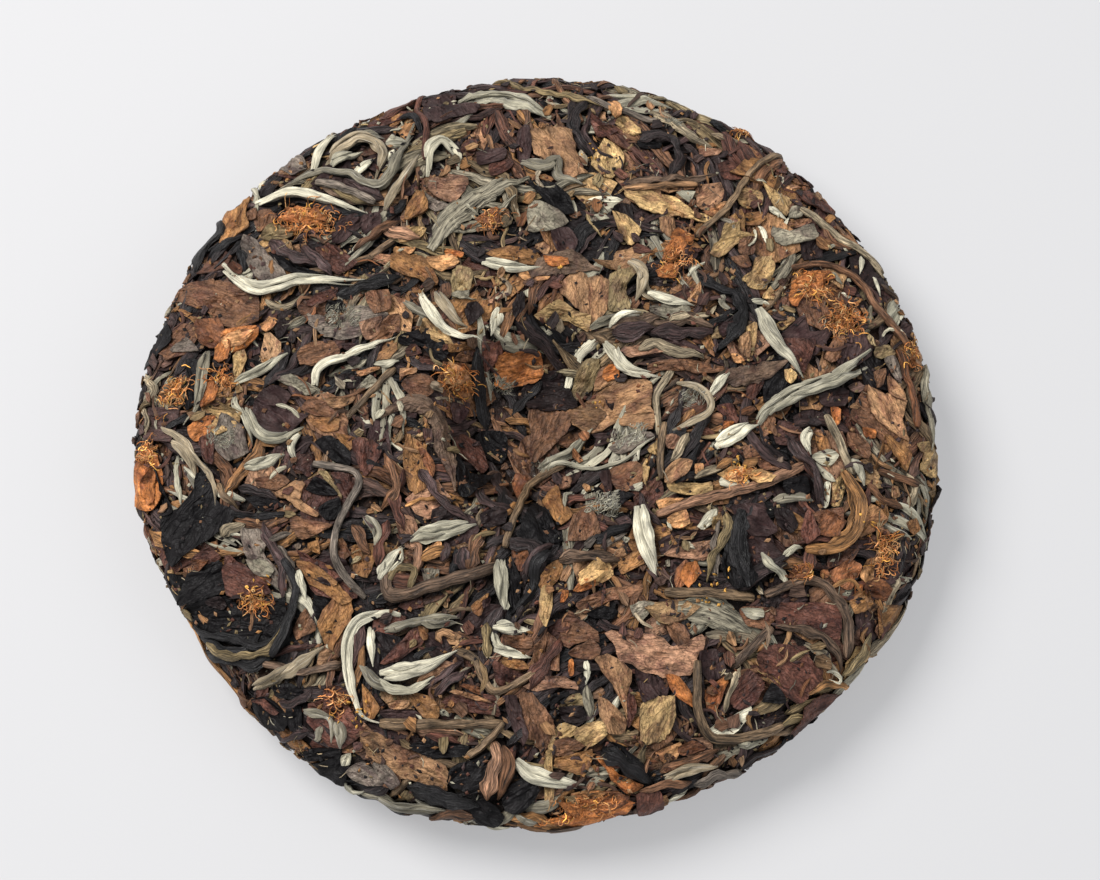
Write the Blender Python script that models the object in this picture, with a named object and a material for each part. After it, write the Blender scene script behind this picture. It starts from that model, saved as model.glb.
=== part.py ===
"""A pressed tea cake: one round, compressed cake of whole leaves, buds and stems, dimple side up.

The cake is one solid. A smooth core gives its outline, its crowned top, its rounded edge, the
off-centre dimple and the gently domed underside. The larger leaves, buds and stems that show on
it are laid on that core along its faces and fused with it. Lengths are in metres; rows of places
on the cake are in millimetres and are scaled where they are used.
"""

import math
import random

import bmesh
import bpy
from mathutils import Vector, noise

MM = 0.001

# The cake's main sizes
CAKE_RADIUS = 99.2 * MM
WIDEST_HEIGHT = 12.0 * MM  # where the rounded edge is widest
TOP_RISE = 15.0 * MM  # from there to the top of the core, with no dimple
BASE_DROP = 12.7 * MM  # from there to the bottom of the core, before it is flattened
TOP_FULLNESS = 2.9  # power of the section's curve: 2 is an ellipse, more is flatter
BASE_FULLNESS = 2.55
# Places where the outline is pressed in: middle and width in degrees, depth in metres
OUTLINE_FLATS = (
    (214, 15, 1.9 * MM),
    (33, 12, 1.5 * MM),
    (290, 14, 1.6 * MM),
    (105, 20, 0.8 * MM),
)
OUTLINE_WAVE = 0.35 * MM  # small unevenness all round

# The dimple pressed into the top, steeper on its left side
DIMPLE_MIDDLE = (0.5 * MM, 0.5 * MM)
DIMPLE_DEPTH = 13.0 * MM
DIMPLE_FLOOR = 12.0 * MM  # radius of the floor
DIMPLE_STEEP_WALL = 16.0 * MM  # width of the wall on the left
DIMPLE_EASY_WALL = 21.0 * MM  # width of the wall on the right

# The core's unevenness and mesh
RELIEF = 0.8 * MM
RELIEF_LENGTH = 11.0 * MM
SEGMENTS = 60
TOP_RINGS = 16
BASE_RINGS = 8
EDGE_CROWDING = 1.35  # above 1 the rings draw together at the rounded edge
SECTION_STEPS = 400

# Buds, rolled leaves and stems: rods laid along the face
STRIP_SIDES = 5
STRIP_STEP = 9.0 * MM  # distance between cross-sections
STRIP_LIFT = 0.12  # share of its height by which a rod's middle stands off the core
STRIP_END = 0.45  # share of its width left at an end

# Flat leaves: thin wavy solids that dip into the face
LEAF_STEP = 8.0 * MM  # distance between points across a leaf
LEAF_PROUD = 0.75 * MM
LEAF_DEPTH = 1.6 * MM
LEAF_CURL = 0.55 * MM
LEAF_CURL_LENGTH = 6.0 * MM
LEAF_TAPER = 0.38  # share of its width lost at an end
LEAF_RAGGED = 0.12  # share of its width by which its sides wander

# Buds, rolled leaves and stems that show on the top face, largest first.
# Each row: points along it (x, y in mm), then its width and its height in mm.
TOP_STRIPS = (
    (((-34, -46), (-44, -48), (-47, -58), (-43, -72), (-37, -76)), 3.6, 3.0),
    (((-43, -57), (-36, -65), (-20, -56)), 4.2, 2.8),
    (((-26, 50), (-16, 62), (-1, 70)), 6.0, 2.8),
    (((44, 0), (63, 13), (82, 23)), 4.2, 2.8),
    (((-29, 42), (-24, 31), (-14, 24)), 4.6, 3.0),
    (((-77, 49), (-61, 42), (-42, 43)), 4.0, 2.8),
    (((-69, 65), (-57, 67), (-42, 61)), 4.0, 2.8),
    (((-19, 92), (-8, 93), (4, 88)), 6.0, 2.6),
    (((55, 35), (59, 26), (66, 17)), 4.2, 3.0),
    (((25, -17), (27, -27), (30, -38)), 4.4, 2.4),
    (((-60, 71), (-48, 75), (-37, 73)), 3.2, 2.6),
    (((20, 51), (27, 43), (39, 36)), 3.2, 2.8),
    (((34, 16), (42, 11), (34, 3)), 2.8, 2.4),
    (((1, -2), (10, 2), (15, 9)), 3.0, 2.2),
    (((-32, -27), (-23, -25), (-14, -22)), 3.6, 2.6),
    (((-94, 8), (-87, 4), (-81, -6)), 3.0, 2.4),
    (((-72, 10), (-66, 1), (-57, 5)), 2.8, 2.4),
    (((-74, 15), (-68, 19), (-61, 23)), 3.0, 2.4),
    (((-55, 15), (-46, 22), (-34, 28)), 3.2, 2.6),
    (((-5, -81), (3, -85), (12, -86)), 4.0, 2.8),
    (((-27, 73), (-23, 80), (-19, 73)), 3.0, 2.6),
    (((-2, 75), (5, 76), (11, 70)), 3.0, 2.6),
    (((-13, 48), (-6, 46), (1, 45)), 3.2, 2.4),
    (((-55, -6), (-46, -12), (-50, -26), (-42, -42)), 2.6, 2.4),
    (((63, 46), (80, 42), (91, 26)), 2.4, 2.2),
    (((30, -20), (44, -15), (66, -6)), 2.4, 2.2),
    (((57, -41), (76, -45), (77, -58)), 2.6, 2.4),
    (((40, -59), (42, -75), (58, -75)), 2.6, 2.4),
    (((-37, -35), (-27, -39), (-9, -33)), 2.8, 2.4),
    (((76, -9), (79, -20), (67, -29)), 2.6, 2.4),
    (((-8, -28), (-2, -14), (7, -3)), 2.2, 2.2),
    (((-39, -77), (-24, -77), (-8, -76)), 2.6, 2.4),
    (((-20, -56), (-13, -66), (0, -62)), 2.4, 2.4),
    (((-62, -32), (-59, -43), (-65, -58)), 2.6, 2.4),
    (((34, 19), (29, 8), (31, -10)), 2.2, 2.2),
    (((40, 55), (51, 68), (61, 76)), 2.4, 2.2),
    (((-27, 93), (-30, 86), (-27, 76)), 2.2, 2.2),
    (((-14, 25), (-16, 13), (-11, 4)), 3.2, 2.4),
    (((40, 46), (47, 41), (52, 33)), 3.4, 2.6),
    (((32, -41), (43, -42), (54, -42)), 2.2, 2.2),
    (((-68, -60), (-58, -63), (-48, -60)), 2.4, 2.2),
    (((89, 26), (93, 13), (94, 3)), 2.4, 2.2),
)

# Flat and crumpled leaves that show on the top face, largest first.
# Each row: middle x and y in mm, heading in degrees, length and width in mm.
TOP_LEAVES = (
    (-82, -20, 40, 25, 20),
    (-72, -47, -18, 28, 11),
    (28, -57, -8, 24, 11),
    (51, -29, 100, 22, 11),
    (87, 5, 95, 23, 10),
    (19, 11, 15, 21, 14),
    (35, 62, -10, 20, 10),
    (9, 37, 30, 19, 15),
    (44, -47, -12, 20, 9),
    (19, -69, 98, 20, 9),
    (63, -58, -15, 18, 13),
    (67, -46, 5, 18, 11),
    (-77, 38, 20, 18, 14),
    (-28, 48, -12, 18, 12),
    (5, 77, 35, 17, 13),
    (-28, -84, -20, 17, 11),
    (49, 54, 25, 15, 10),
    (-30, -8, 100, 16, 8),
    (-52, 7, -15, 14, 10),
    (11, -52, 75, 14, 10),
    (30, -76, 60, 14, 12),
    (-16, -88, 70, 14, 10),
    (-68, 50, 130, 14, 10),
    (-5, 22, 20, 15, 9),
    (73, -24, 10, 11, 9),
    (66, 58, -50, 13, 9),
    (10, -84, 20, 12, 10),
    (-80, -38, 50, 12, 10),
)

# Pieces strewn round the edge and over the underside
EDGE_PIECES = 34
BASE_PIECES = 24
STREWN_SEED = 7
EDGE_BAND = (91 * MM, 121 * MM)  # distance from the top's middle, along the face
BASE_BAND = 78 * MM  # strewn this far from the underside's middle
GOLDEN_PART = 0.618  # steps of this part of a turn or a band never line up
STREWN_LEAF_LENGTH = (14 * MM, 22 * MM)
STREWN_LEAF_WIDTH = (8 * MM, 13 * MM)
STREWN_STRIP_HALF = (10 * MM, 17 * MM)
STREWN_STRIP_WIDTH = (2.4 * MM, 4.0 * MM)
STREWN_STRIP_HEIGHT = 0.85  # share of its width
STREWN_BEND = 0.35  # most that a strip bows, as a share of half its length

CUTTER_WIDTH = 300 * MM
CUTTER_HEIGHT = 50 * MM

LEAF_COLOUR = (0.13, 0.075, 0.042, 1.0)
LEAF_ROUGHNESS = 0.72


def smooth_step(value):
    """Ease from 0 to 1 as value goes from 0 to 1."""
    value = min(1.0, max(0.0, value))
    return value * value * (3.0 - 2.0 * value)


def outline_radius(angle):
    """The cake's radius in a direction, seen from above."""
    radius = CAKE_RADIUS + OUTLINE_WAVE * math.cos(4 * angle + 0.6)
    radius += OUTLINE_WAVE * math.cos(7 * angle + 2.0)
    for middle, width, depth in OUTLINE_FLATS:
        away = math.degrees(angle) - middle
        away = (away + 180.0) % 360.0 - 180.0
        radius -= depth * math.exp(-((away / width) ** 2))
    return radius


def section():
    """Half of the cake's section, from the top's middle round to the underside's middle.

    Each entry is (distance along the section, radius, height), with no dimple.
    """
    rows = []
    travelled = 0.0
    for step in range(SECTION_STEPS + 1):
        turn = math.pi * step / SECTION_STEPS
        across = max(0.0, math.sin(turn))
        up = math.cos(turn)
        power = 2.0 / (TOP_FULLNESS if up >= 0 else BASE_FULLNESS)
        rise = TOP_RISE if up >= 0 else -BASE_DROP
        radius = CAKE_RADIUS * across ** power
        height = WIDEST_HEIGHT + rise * abs(up) ** power
        if rows:
            travelled += math.hypot(radius - rows[-1][1], height - rows[-1][2])
        rows.append((travelled, radius, height))
    return rows


SECTION = section()
SECTION_LENGTH = SECTION[-1][0]


def look_up(rows, key, value):
    """The row where column key passes value, interpolated; rows rise in that column."""
    low, high = 0, len(rows) - 1
    while high - low > 1:
        middle = (low + high) // 2
        if rows[middle][key] <= value:
            low = middle
        else:
            high = middle
    span = rows[high][key] - rows[low][key]
    part = min(1.0, max(0.0, (value - rows[low][key]) / span)) if span > 0 else 0.0
    return [a + (b - a) * part for a, b in zip(rows[low], rows[high])]


def dimple_depth(x, y):
    """How far the top is pressed in at a place."""
    across = x - DIMPLE_MIDDLE[0]
    along = y - DIMPLE_MIDDLE[1]
    away = math.hypot(across, along)
    leftness = 0.5 - 0.5 * across / away if away > 0 else 0.5
    wall = DIMPLE_EASY_WALL + (DIMPLE_STEEP_WALL - DIMPLE_EASY_WALL) * leftness
    return DIMPLE_DEPTH * (1.0 - smooth_step((away - DIMPLE_FLOOR) / wall))


def on_cake(a, b, from_base=False):
    """A point of the core, from distances along its face from the middle of the top or base."""
    away = math.hypot(a, b)
    angle = math.atan2(b, a)
    travelled = SECTION_LENGTH - away if from_base else away
    _, radius, height = look_up(SECTION, 0, travelled)
    radius *= outline_radius(angle) / CAKE_RADIUS
    x = radius * math.cos(angle)
    y = radius * math.sin(angle)
    if travelled < SECTION_LENGTH / 2:
        height -= dimple_depth(x, y)
    return Vector((x, y, height))


def face_normal(a, b, from_base=False):
    """The outward direction of the core at such a place."""
    step = 1.0 * MM
    there = on_cake(a + step, b, from_base) - on_cake(a - step, b, from_base)
    across = on_cake(a, b + step, from_base) - on_cake(a, b - step, from_base)
    normal = there.cross(across).normalized()
    return -normal if from_base else normal


def along_face(x, y):
    """Turn a place seen from above (x, y in metres) into distances along the top face."""
    away = math.hypot(x, y)
    if away == 0:
        return 0.0, 0.0
    radius = min(away * CAKE_RADIUS / outline_radius(math.atan2(y, x)), CAKE_RADIUS * 0.999)
    top_half = SECTION[: SECTION_STEPS // 2 + 1]
    travelled = look_up(top_half, 1, radius)[0]
    return x / away * travelled, y / away * travelled


def add_object(name, mesh_builder, collection):
    """Make a named object of what a bmesh holds, with outward faces."""
    bmesh.ops.recalc_face_normals(mesh_builder, faces=mesh_builder.faces)
    mesh = bpy.data.meshes.new(name)
    mesh_builder.to_mesh(mesh)
    mesh_builder.free()
    result = bpy.data.objects.new(name, mesh)
    collection.objects.link(result)
    return result


def make_core():
    """The cake with no leaves: rings of points down the section, closed at both middles."""
    builder = bmesh.new()
    rings = []
    half = SECTION_LENGTH / 2
    stops = [half * (1 - (1 - step / TOP_RINGS) ** EDGE_CROWDING) for step in range(1, TOP_RINGS + 1)]
    stops += [half + half * (step / BASE_RINGS) ** EDGE_CROWDING for step in range(1, BASE_RINGS)]
    for stop in stops:
        ring = []
        for step in range(SEGMENTS):
            angle = 2 * math.pi * step / SEGMENTS
            a = stop * math.cos(angle)
            b = stop * math.sin(angle)
            place = on_cake(a, b)
            bump = noise.noise(place / RELIEF_LENGTH) + 0.5 * noise.noise(place * 2.3 / RELIEF_LENGTH)
            toward = (place - Vector((0, 0, WIDEST_HEIGHT))).normalized()
            ring.append(builder.verts.new(place + toward * bump * RELIEF))
        rings.append(ring)
    for upper, lower in zip(rings, rings[1:]):
        for step in range(SEGMENTS):
            after = (step + 1) % SEGMENTS
            builder.faces.new((upper[step], lower[step], lower[after], upper[after]))
    for ring, height in ((rings[0], on_cake(0, 0).z), (rings[-1], WIDEST_HEIGHT - BASE_DROP)):
        middle = builder.verts.new((0, 0, height))
        for step in range(SEGMENTS):
            builder.faces.new((ring[step], ring[(step + 1) % SEGMENTS], middle))
    return add_object("tea_cake", builder, bpy.context.scene.collection)


def smooth_route(points, step):
    """Points about step apart along a soft curve through the given points."""
    ends = [points[0] * 2 - points[1], *points, points[-1] * 2 - points[-2]]
    route = []
    for p0, p1, p2, p3 in zip(ends, ends[1:], ends[2:], ends[3:]):
        count = max(1, round((p2 - p1).length / step))
        for k in range(count):
            t = k / count
            route.append(
                0.5 * (2 * p1 + (p2 - p0) * t + (2 * p0 - 5 * p1 + 4 * p2 - p3) * t * t
                       + (3 * p1 - p0 - 3 * p2 + p3) * t ** 3)
            )
    route.append(points[-1])
    return route


def add_strip(name, route, width, height, collection, from_base=False):
    """A bud, rolled leaf or stem: an oval rod along the face, tapered at both ends."""
    builder = bmesh.new()
    route = smooth_route([Vector(point) for point in route], STRIP_STEP)
    places = [on_cake(p[0], p[1], from_base) for p in route]
    last = len(places) - 1
    rings = []
    for k, place in enumerate(places):
        normal = face_normal(route[k][0], route[k][1], from_base)
        ahead = (places[min(k + 1, last)] - places[max(k - 1, 0)]).normalized()
        side = ahead.cross(normal).normalized()
        taper = STRIP_END + (1 - STRIP_END) * math.sin(math.pi * k / last)
        ring = []
        for corner in range(STRIP_SIDES):
            turn = math.pi / 2 + 2 * math.pi * corner / STRIP_SIDES
            out = side * math.cos(turn) * width / 2 * taper
            out += normal * height * (math.sin(turn) / 2 * taper + STRIP_LIFT)
            ring.append(builder.verts.new(place + out))
        rings.append(ring)
    for before, after in zip(rings, rings[1:]):
        for corner in range(STRIP_SIDES):
            follow = (corner + 1) % STRIP_SIDES
            builder.faces.new((before[corner], before[follow], after[follow], after[corner]))
    builder.faces.new(rings[0])
    builder.faces.new(rings[-1])
    return add_object(name, builder, collection)


def add_leaf(name, middle, heading, length, width, collection, from_base=False):
    """A flat torn leaf: a thin wavy solid that lies on the face and dips into it at its edges."""
    builder = bmesh.new()
    columns = max(2, round(length / LEAF_STEP))
    rows = max(2, round(width / LEAF_STEP))
    ahead = Vector((math.cos(heading), math.sin(heading)))
    side = Vector((-ahead.y, ahead.x))
    layers = []
    for level in (LEAF_PROUD, LEAF_PROUD - LEAF_DEPTH):
        layer = []
        for column in range(columns + 1):
            u = 2 * column / columns - 1
            line = []
            for row in range(rows + 1):
                v = 2 * row / rows - 1
                narrow = 1.0 - LEAF_TAPER * u * u
                narrow += LEAF_RAGGED * noise.noise((3 * u, middle[0] / LEAF_CURL_LENGTH, 0))
                spot = Vector(middle) + ahead * u * length / 2 + side * v * narrow * width / 2
                place = on_cake(spot.x, spot.y, from_base)
                normal = face_normal(spot.x, spot.y, from_base)
                curl = LEAF_CURL * noise.noise((*(spot / LEAF_CURL_LENGTH), 0))
                line.append(builder.verts.new(place + normal * (level + curl)))
            layer.append(line)
        layers.append(layer)
    top, under = layers
    for column in range(columns):
        for row in range(rows):
            for layer in layers:
                a, b = layer[column][row], layer[column + 1][row]
                c, d = layer[column + 1][row + 1], layer[column][row + 1]
                builder.faces.new((a, b, c))
                builder.faces.new((a, c, d))
    border = [(column, 0) for column in range(columns)]
    border += [(columns, row) for row in range(rows)]
    border += [(column, rows) for column in range(columns, 0, -1)]
    border += [(0, row) for row in range(rows, 0, -1)]
    for (c0, r0), (c1, r1) in zip(border, border[1:] + border[:1]):
        builder.faces.new((top[c0][r0], top[c1][r1], under[c1][r1], under[c0][r0]))
    return add_object(name, builder, collection)


def lay_top_pieces(collection):
    """The buds, stems and leaves of the top face, where the cake shows them."""
    for number, (points, width, height) in enumerate(TOP_STRIPS):
        route = [along_face(x * MM, y * MM) for x, y in points]
        add_strip(f"top_strip_{number}", route, width * MM, height * MM, collection)
    for number, (x, y, heading, length, width) in enumerate(TOP_LEAVES):
        middle = along_face(x * MM, y * MM)
        add_leaf(f"top_leaf_{number}", middle, math.radians(heading), length * MM, width * MM, collection)


def strewn_piece(name, draw, away, angle, along, collection, from_base):
    """One seeded leaf or stem at a distance and direction from the middle of a face."""
    middle = Vector((away * math.cos(angle), away * math.sin(angle)))
    heading = angle + math.pi / 2 + draw.uniform(-along, along)
    if draw.random() < 0.5:
        length = draw.uniform(*STREWN_LEAF_LENGTH)
        width = draw.uniform(*STREWN_LEAF_WIDTH)
        add_leaf(name, middle, heading, length, width, collection, from_base)
        return
    half = draw.uniform(*STREWN_STRIP_HALF)
    bend = draw.uniform(-STREWN_BEND, STREWN_BEND)
    ahead = Vector((math.cos(heading), math.sin(heading)))
    side = Vector((-ahead.y, ahead.x))
    route = [middle - ahead * half, middle + side * half * bend, middle + ahead * half]
    width = draw.uniform(*STREWN_STRIP_WIDTH)
    add_strip(name, route, width, width * STREWN_STRIP_HEIGHT, collection, from_base)


def lay_strewn_pieces(collection):
    """Leaves and stems round the edge and over the underside, spread evenly, from one seed."""
    draw = random.Random(STREWN_SEED)
    for number in range(EDGE_PIECES):
        angle = 2 * math.pi * (number + draw.uniform(-0.3, 0.3)) / EDGE_PIECES
        away = EDGE_BAND[0] + (EDGE_BAND[1] - EDGE_BAND[0]) * (number * GOLDEN_PART % 1.0)
        strewn_piece(f"edge_{number}", draw, away, angle, 0.3, collection, False)
    for number in range(BASE_PIECES):
        angle = 2 * math.pi * number * GOLDEN_PART
        away = BASE_BAND * math.sqrt((number + 0.5) / BASE_PIECES)
        strewn_piece(f"base_{number}", draw, away, angle, 1.5, collection, True)


def apply_boolean(target, operation, **what):
    """Run one Boolean on the target and keep its result as the target's own mesh."""
    modifier = target.modifiers.new("join", "BOOLEAN")
    modifier.operation = operation
    modifier.solver = "MANIFOLD"
    for name, value in what.items():
        setattr(modifier, name, value)
    bpy.context.view_layer.update()
    evaluated = target.evaluated_get(bpy.context.evaluated_depsgraph_get())
    mesh = bpy.data.meshes.new_from_object(evaluated)
    target.modifiers.clear()
    target.data = mesh


def flatten_base(cake):
    """Cut the underside level, so that the cake has a flat spot to rest on."""
    slab = bmesh.new()
    bmesh.ops.create_cube(slab, size=1.0)
    for corner in slab.verts:
        across = corner.co.xy * CUTTER_WIDTH
        corner.co = Vector((across.x, across.y, (corner.co.z - 0.5) * CUTTER_HEIGHT))
    cutter = add_object("base_cutter", slab, bpy.context.scene.collection)
    apply_boolean(cake, "DIFFERENCE", operand_type="OBJECT", object=cutter)
    bpy.data.objects.remove(cutter)


def keep_main_body(cake):
    """Keep the largest shell. The others are loose scraps and hollows that fusing sealed."""
    builder = bmesh.new()
    builder.from_mesh(cake.data)
    bmesh.ops.triangulate(builder, faces=builder.faces)
    shells = []
    unseen = set(builder.faces)
    while unseen:
        stack = [unseen.pop()]
        shell = []
        while stack:
            face = stack.pop()
            shell.append(face)
            for edge in face.edges:
                for other in edge.link_faces:
                    if other in unseen:
                        unseen.remove(other)
                        stack.append(other)
        shells.append(shell)
    shells.sort(key=len)
    scraps = [face for shell in shells[:-1] for face in shell]
    bmesh.ops.delete(builder, geom=scraps, context="FACES")
    builder.to_mesh(cake.data)
    builder.free()


def centre_on_box(cake):
    """Move the mesh so that the middle of its box stands over the origin, base at zero."""
    corners = [vertex.co for vertex in cake.data.vertices]
    low = Vector([min(corner[axis] for corner in corners) for axis in range(3)])
    high = Vector([max(corner[axis] for corner in corners) for axis in range(3)])
    shift = Vector(((low.x + high.x) / 2, (low.y + high.y) / 2, low.z))
    for vertex in cake.data.vertices:
        vertex.co -= shift


def leaf_material():
    """The mixed brown of the pressed leaves."""
    material = bpy.data.materials.new("pressed_leaves")
    material.use_nodes = True
    shader = material.node_tree.nodes["Principled BSDF"]
    shader.inputs["Base Color"].default_value = LEAF_COLOUR
    shader.inputs["Roughness"].default_value = LEAF_ROUGHNESS
    shader.inputs["Metallic"].default_value = 0.0
    return material


def main():
    for old in list(bpy.data.objects):
        bpy.data.objects.remove(old)
    pieces = bpy.data.collections.new("leaves_and_stems")
    bpy.context.scene.collection.children.link(pieces)
    lay_top_pieces(pieces)
    lay_strewn_pieces(pieces)
    cake = make_core()
    apply_boolean(cake, "UNION", operand_type="COLLECTION", collection=pieces)
    for piece in list(pieces.objects):
        bpy.data.objects.remove(piece)
    bpy.data.collections.remove(pieces)
    flatten_base(cake)
    keep_main_body(cake)
    centre_on_box(cake)
    cake.data.materials.clear()
    cake.data.materials.append(leaf_material())


main()
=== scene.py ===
"""The looks of a pressed tea cake: its leaves, buds, stems and flower bits, laid one on another.

The cake's core has the same form as the CAD solid. Every loose piece is laid in turn on what is
there already, on a height map that follows the cake's face, and the whole is then pressed flat,
as the real cake was. Shapes are worked out in millimetres and made in metres.
"""

import math

import bpy
import numpy as np
from mathutils import Matrix, Vector

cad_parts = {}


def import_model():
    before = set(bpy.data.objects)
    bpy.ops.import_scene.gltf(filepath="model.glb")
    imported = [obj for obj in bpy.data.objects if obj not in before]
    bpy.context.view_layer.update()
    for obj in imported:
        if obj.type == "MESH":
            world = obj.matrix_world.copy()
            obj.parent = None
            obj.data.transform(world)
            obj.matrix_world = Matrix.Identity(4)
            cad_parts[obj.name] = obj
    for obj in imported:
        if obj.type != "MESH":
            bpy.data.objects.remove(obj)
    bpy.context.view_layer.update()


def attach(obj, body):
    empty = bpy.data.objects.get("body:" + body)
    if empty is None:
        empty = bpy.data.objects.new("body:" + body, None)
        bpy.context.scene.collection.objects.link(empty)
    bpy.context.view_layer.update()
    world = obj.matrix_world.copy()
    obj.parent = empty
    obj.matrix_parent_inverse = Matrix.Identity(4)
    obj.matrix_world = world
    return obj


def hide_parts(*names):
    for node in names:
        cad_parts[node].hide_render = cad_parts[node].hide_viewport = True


MM = 0.001
SEED = 4

# ---------------------------------------------------------------- the cake's form, as in the CAD
CAKE_RADIUS = 99.2
WIDEST_HEIGHT = 12.0
TOP_RISE = 15.0
BASE_DROP = 12.7
TOP_FULLNESS = 2.9
BASE_FULLNESS = 2.55
OUTLINE_FLATS = ((214, 15, 1.9), (33, 12, 1.5), (290, 14, 1.6), (105, 20, 0.8))
OUTLINE_WAVE = 0.35
DIMPLE_MIDDLE = (0.5, 0.5)
DIMPLE_DEPTH = 13.0
DIMPLE_FLOOR = 12.0
DIMPLE_STEEP_WALL = 16.0
DIMPLE_EASY_WALL = 21.0
SECTION_STEPS = 2000

# ---------------------------------------------------------------- the photograph's view
PHOTO_SIZE = (1100, 880)
CAMERA_ELEVATION = 69.0  # degrees above the table
CAMERA_DISTANCE = 620.0
CAMERA_AIM = (0.0, 0.0, 14.0)  # this point of the cake shows at AIM_PIXEL
AIM_PIXEL = (536.0, 433.0)
PIXELS_PER_MM = 4.0  # at the aim point
SENSOR_WIDTH = 36.0

# ---------------------------------------------------------------- the height map
MAP_CELL = 0.3
TOP_MAP_REACH = 128.0  # along the face from the middle, past the widest edge
BASE_MAP_REACH = 108.0

# The press: heights over the smoothed pile are softly limited
PRESS_LIMIT = 2.6
PRESS_WINDOW = 6.0  # mm over which the pile is smoothed
# Painted shade between pieces, from how far a point lies below its surroundings
SHADE_WINDOW = 0.9  # mm of its surroundings that shade a point
SHADE_STARTS = 0.05  # mm below its surroundings at which a point starts to be shaded
SHADE_FULL = 1.7  # mm below them at which it is fully shaded
PILE_FACE = 0.35  # mean height of the pressed pile over the core
STAND_SOFTNESS = 0.9  # mm over which the underside flattens against the table
SEAT_LIFT = 1.7  # mm by which the core stands clear of the table, for the leaves under it
SEAT_SPREAD = 25.0  # mm past the widest edge over which the core is lifted
DIRECTION_STEP = 1.5  # mm to either side that a surface direction is worked out from

# ---------------------------------------------------------------- colours, as seen (sRGB)
TINTS = {
    "cream": "D9D2B9",
    "silver": "ADA791",
    "grey": "857E6C",
    "olive": "82704F",
    "stem": "6E5A44",
    "ochre": "8C643C",
    "tan": "957150",
    "straw": "AC8E60",
    "pinkish": "946F56",
    "brown": "6F4E37",
    "redbrown": "57362B",
    "purple": "41312F",
    "dark": "2B2221",
    "black": "141213",
    "orange": "A96937",
    "rust": "71472B",
    "petal": "C39060",
    "apricot": "EBBE80",
    "ash": "70655A",
    "hay": "988970",
    "bark": "5E4B3C",
    "fuzz": "9A968A",
    "grain": "D8A24E",
}


def linear(code):
    """A colour written as seen, as linear light."""
    seen = np.array([int(code[k:k + 2], 16) / 255 for k in (0, 2, 4)])
    return np.where(seen <= 0.04045, seen / 12.92, ((seen + 0.055) / 1.055) ** 2.4)


COLOURS = {name: linear(code) for name, code in TINTS.items()}


# ---------------------------------------------------------------- the core's form
def smooth_step(value):
    """0 up to 0, 1 from 1 on, and a soft rise between."""
    value = np.clip(value, 0.0, 1.0)
    return value * value * (3.0 - 2.0 * value)


def outline_radius(angle):
    """The cake's radius in a direction, seen from above."""
    radius = CAKE_RADIUS + OUTLINE_WAVE * (np.cos(4 * angle + 0.6) + np.cos(7 * angle + 2.0))
    for middle, width, depth in OUTLINE_FLATS:
        away = (np.degrees(angle) - middle + 180.0) % 360.0 - 180.0
        radius = radius - depth * np.exp(-((away / width) ** 2))
    return radius


def section():
    """Half of the cake's section: distance along it from the top's middle, radius and height."""
    turn = np.linspace(0, math.pi, SECTION_STEPS + 1)
    up = np.cos(turn)
    power = np.where(up >= 0, 2.0 / TOP_FULLNESS, 2.0 / BASE_FULLNESS)
    rise = np.where(up >= 0, TOP_RISE, -BASE_DROP)
    radius = CAKE_RADIUS * np.clip(np.sin(turn), 0, 1) ** power
    height = WIDEST_HEIGHT + rise * np.abs(up) ** power
    steps = np.hypot(np.diff(radius), np.diff(height))
    return np.concatenate(([0.0], np.cumsum(steps))), radius, height


TRAVELLED, SECTION_RADIUS, SECTION_HEIGHT = section()
SECTION_LENGTH = TRAVELLED[-1]
WIDEST_TRAVEL = TRAVELLED[SECTION_STEPS // 2]


def dimple_depth(x, y):
    """How far the top is pressed in at a place."""
    across = x - DIMPLE_MIDDLE[0]
    along = y - DIMPLE_MIDDLE[1]
    away = np.hypot(across, along)
    leftness = 0.5 - 0.5 * across / np.maximum(away, 1e-6)
    wall = DIMPLE_EASY_WALL + (DIMPLE_STEEP_WALL - DIMPLE_EASY_WALL) * leftness
    return DIMPLE_DEPTH * (1.0 - smooth_step((away - DIMPLE_FLOOR) / wall))


def on_cake(a, b, base):
    """Points of the core, from distances along its face from the middle of the top or base."""
    away = np.hypot(a, b)
    angle = np.arctan2(b, a)
    travelled = SECTION_LENGTH - away if base else away
    radius = np.interp(travelled, TRAVELLED, SECTION_RADIUS)
    radius = radius * outline_radius(angle) / CAKE_RADIUS
    x = radius * np.cos(angle)
    y = radius * np.sin(angle)
    z = np.interp(travelled, TRAVELLED, SECTION_HEIGHT)
    z = z - np.where(travelled < WIDEST_TRAVEL, dimple_depth(x, y), 0.0)
    z = z + SEAT_LIFT * smooth_step((travelled - WIDEST_TRAVEL) / SEAT_SPREAD)
    return np.stack([x, y, z], -1)


def outward(a, b, base):
    """The outward direction of the core at such places."""
    step = DIRECTION_STEP
    there = on_cake(a + step, b, base) - on_cake(a - step, b, base)
    across = on_cake(a, b + step, base) - on_cake(a, b - step, base)
    normal = np.cross(there, across)
    normal /= np.maximum(np.linalg.norm(normal, axis=-1, keepdims=True), 1e-9)
    return -normal if base else normal


def along_face(x, y):
    """Places seen from above, as distances along the top face."""
    away = np.maximum(np.hypot(x, y), 1e-6)
    radius = away * CAKE_RADIUS / outline_radius(np.arctan2(y, x))
    half = SECTION_STEPS // 2
    travelled = np.interp(radius, SECTION_RADIUS[:half], TRAVELLED[:half])
    return x / away * travelled, y / away * travelled


# ---------------------------------------------------------------- the photograph's view
def camera_axes():
    """The camera's right, up and backward directions."""
    lift = math.radians(CAMERA_ELEVATION)
    back = np.array([0.0, -math.cos(lift), math.sin(lift)])
    right = np.array([1.0, 0.0, 0.0])
    return right, np.cross(back, right), back


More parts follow.
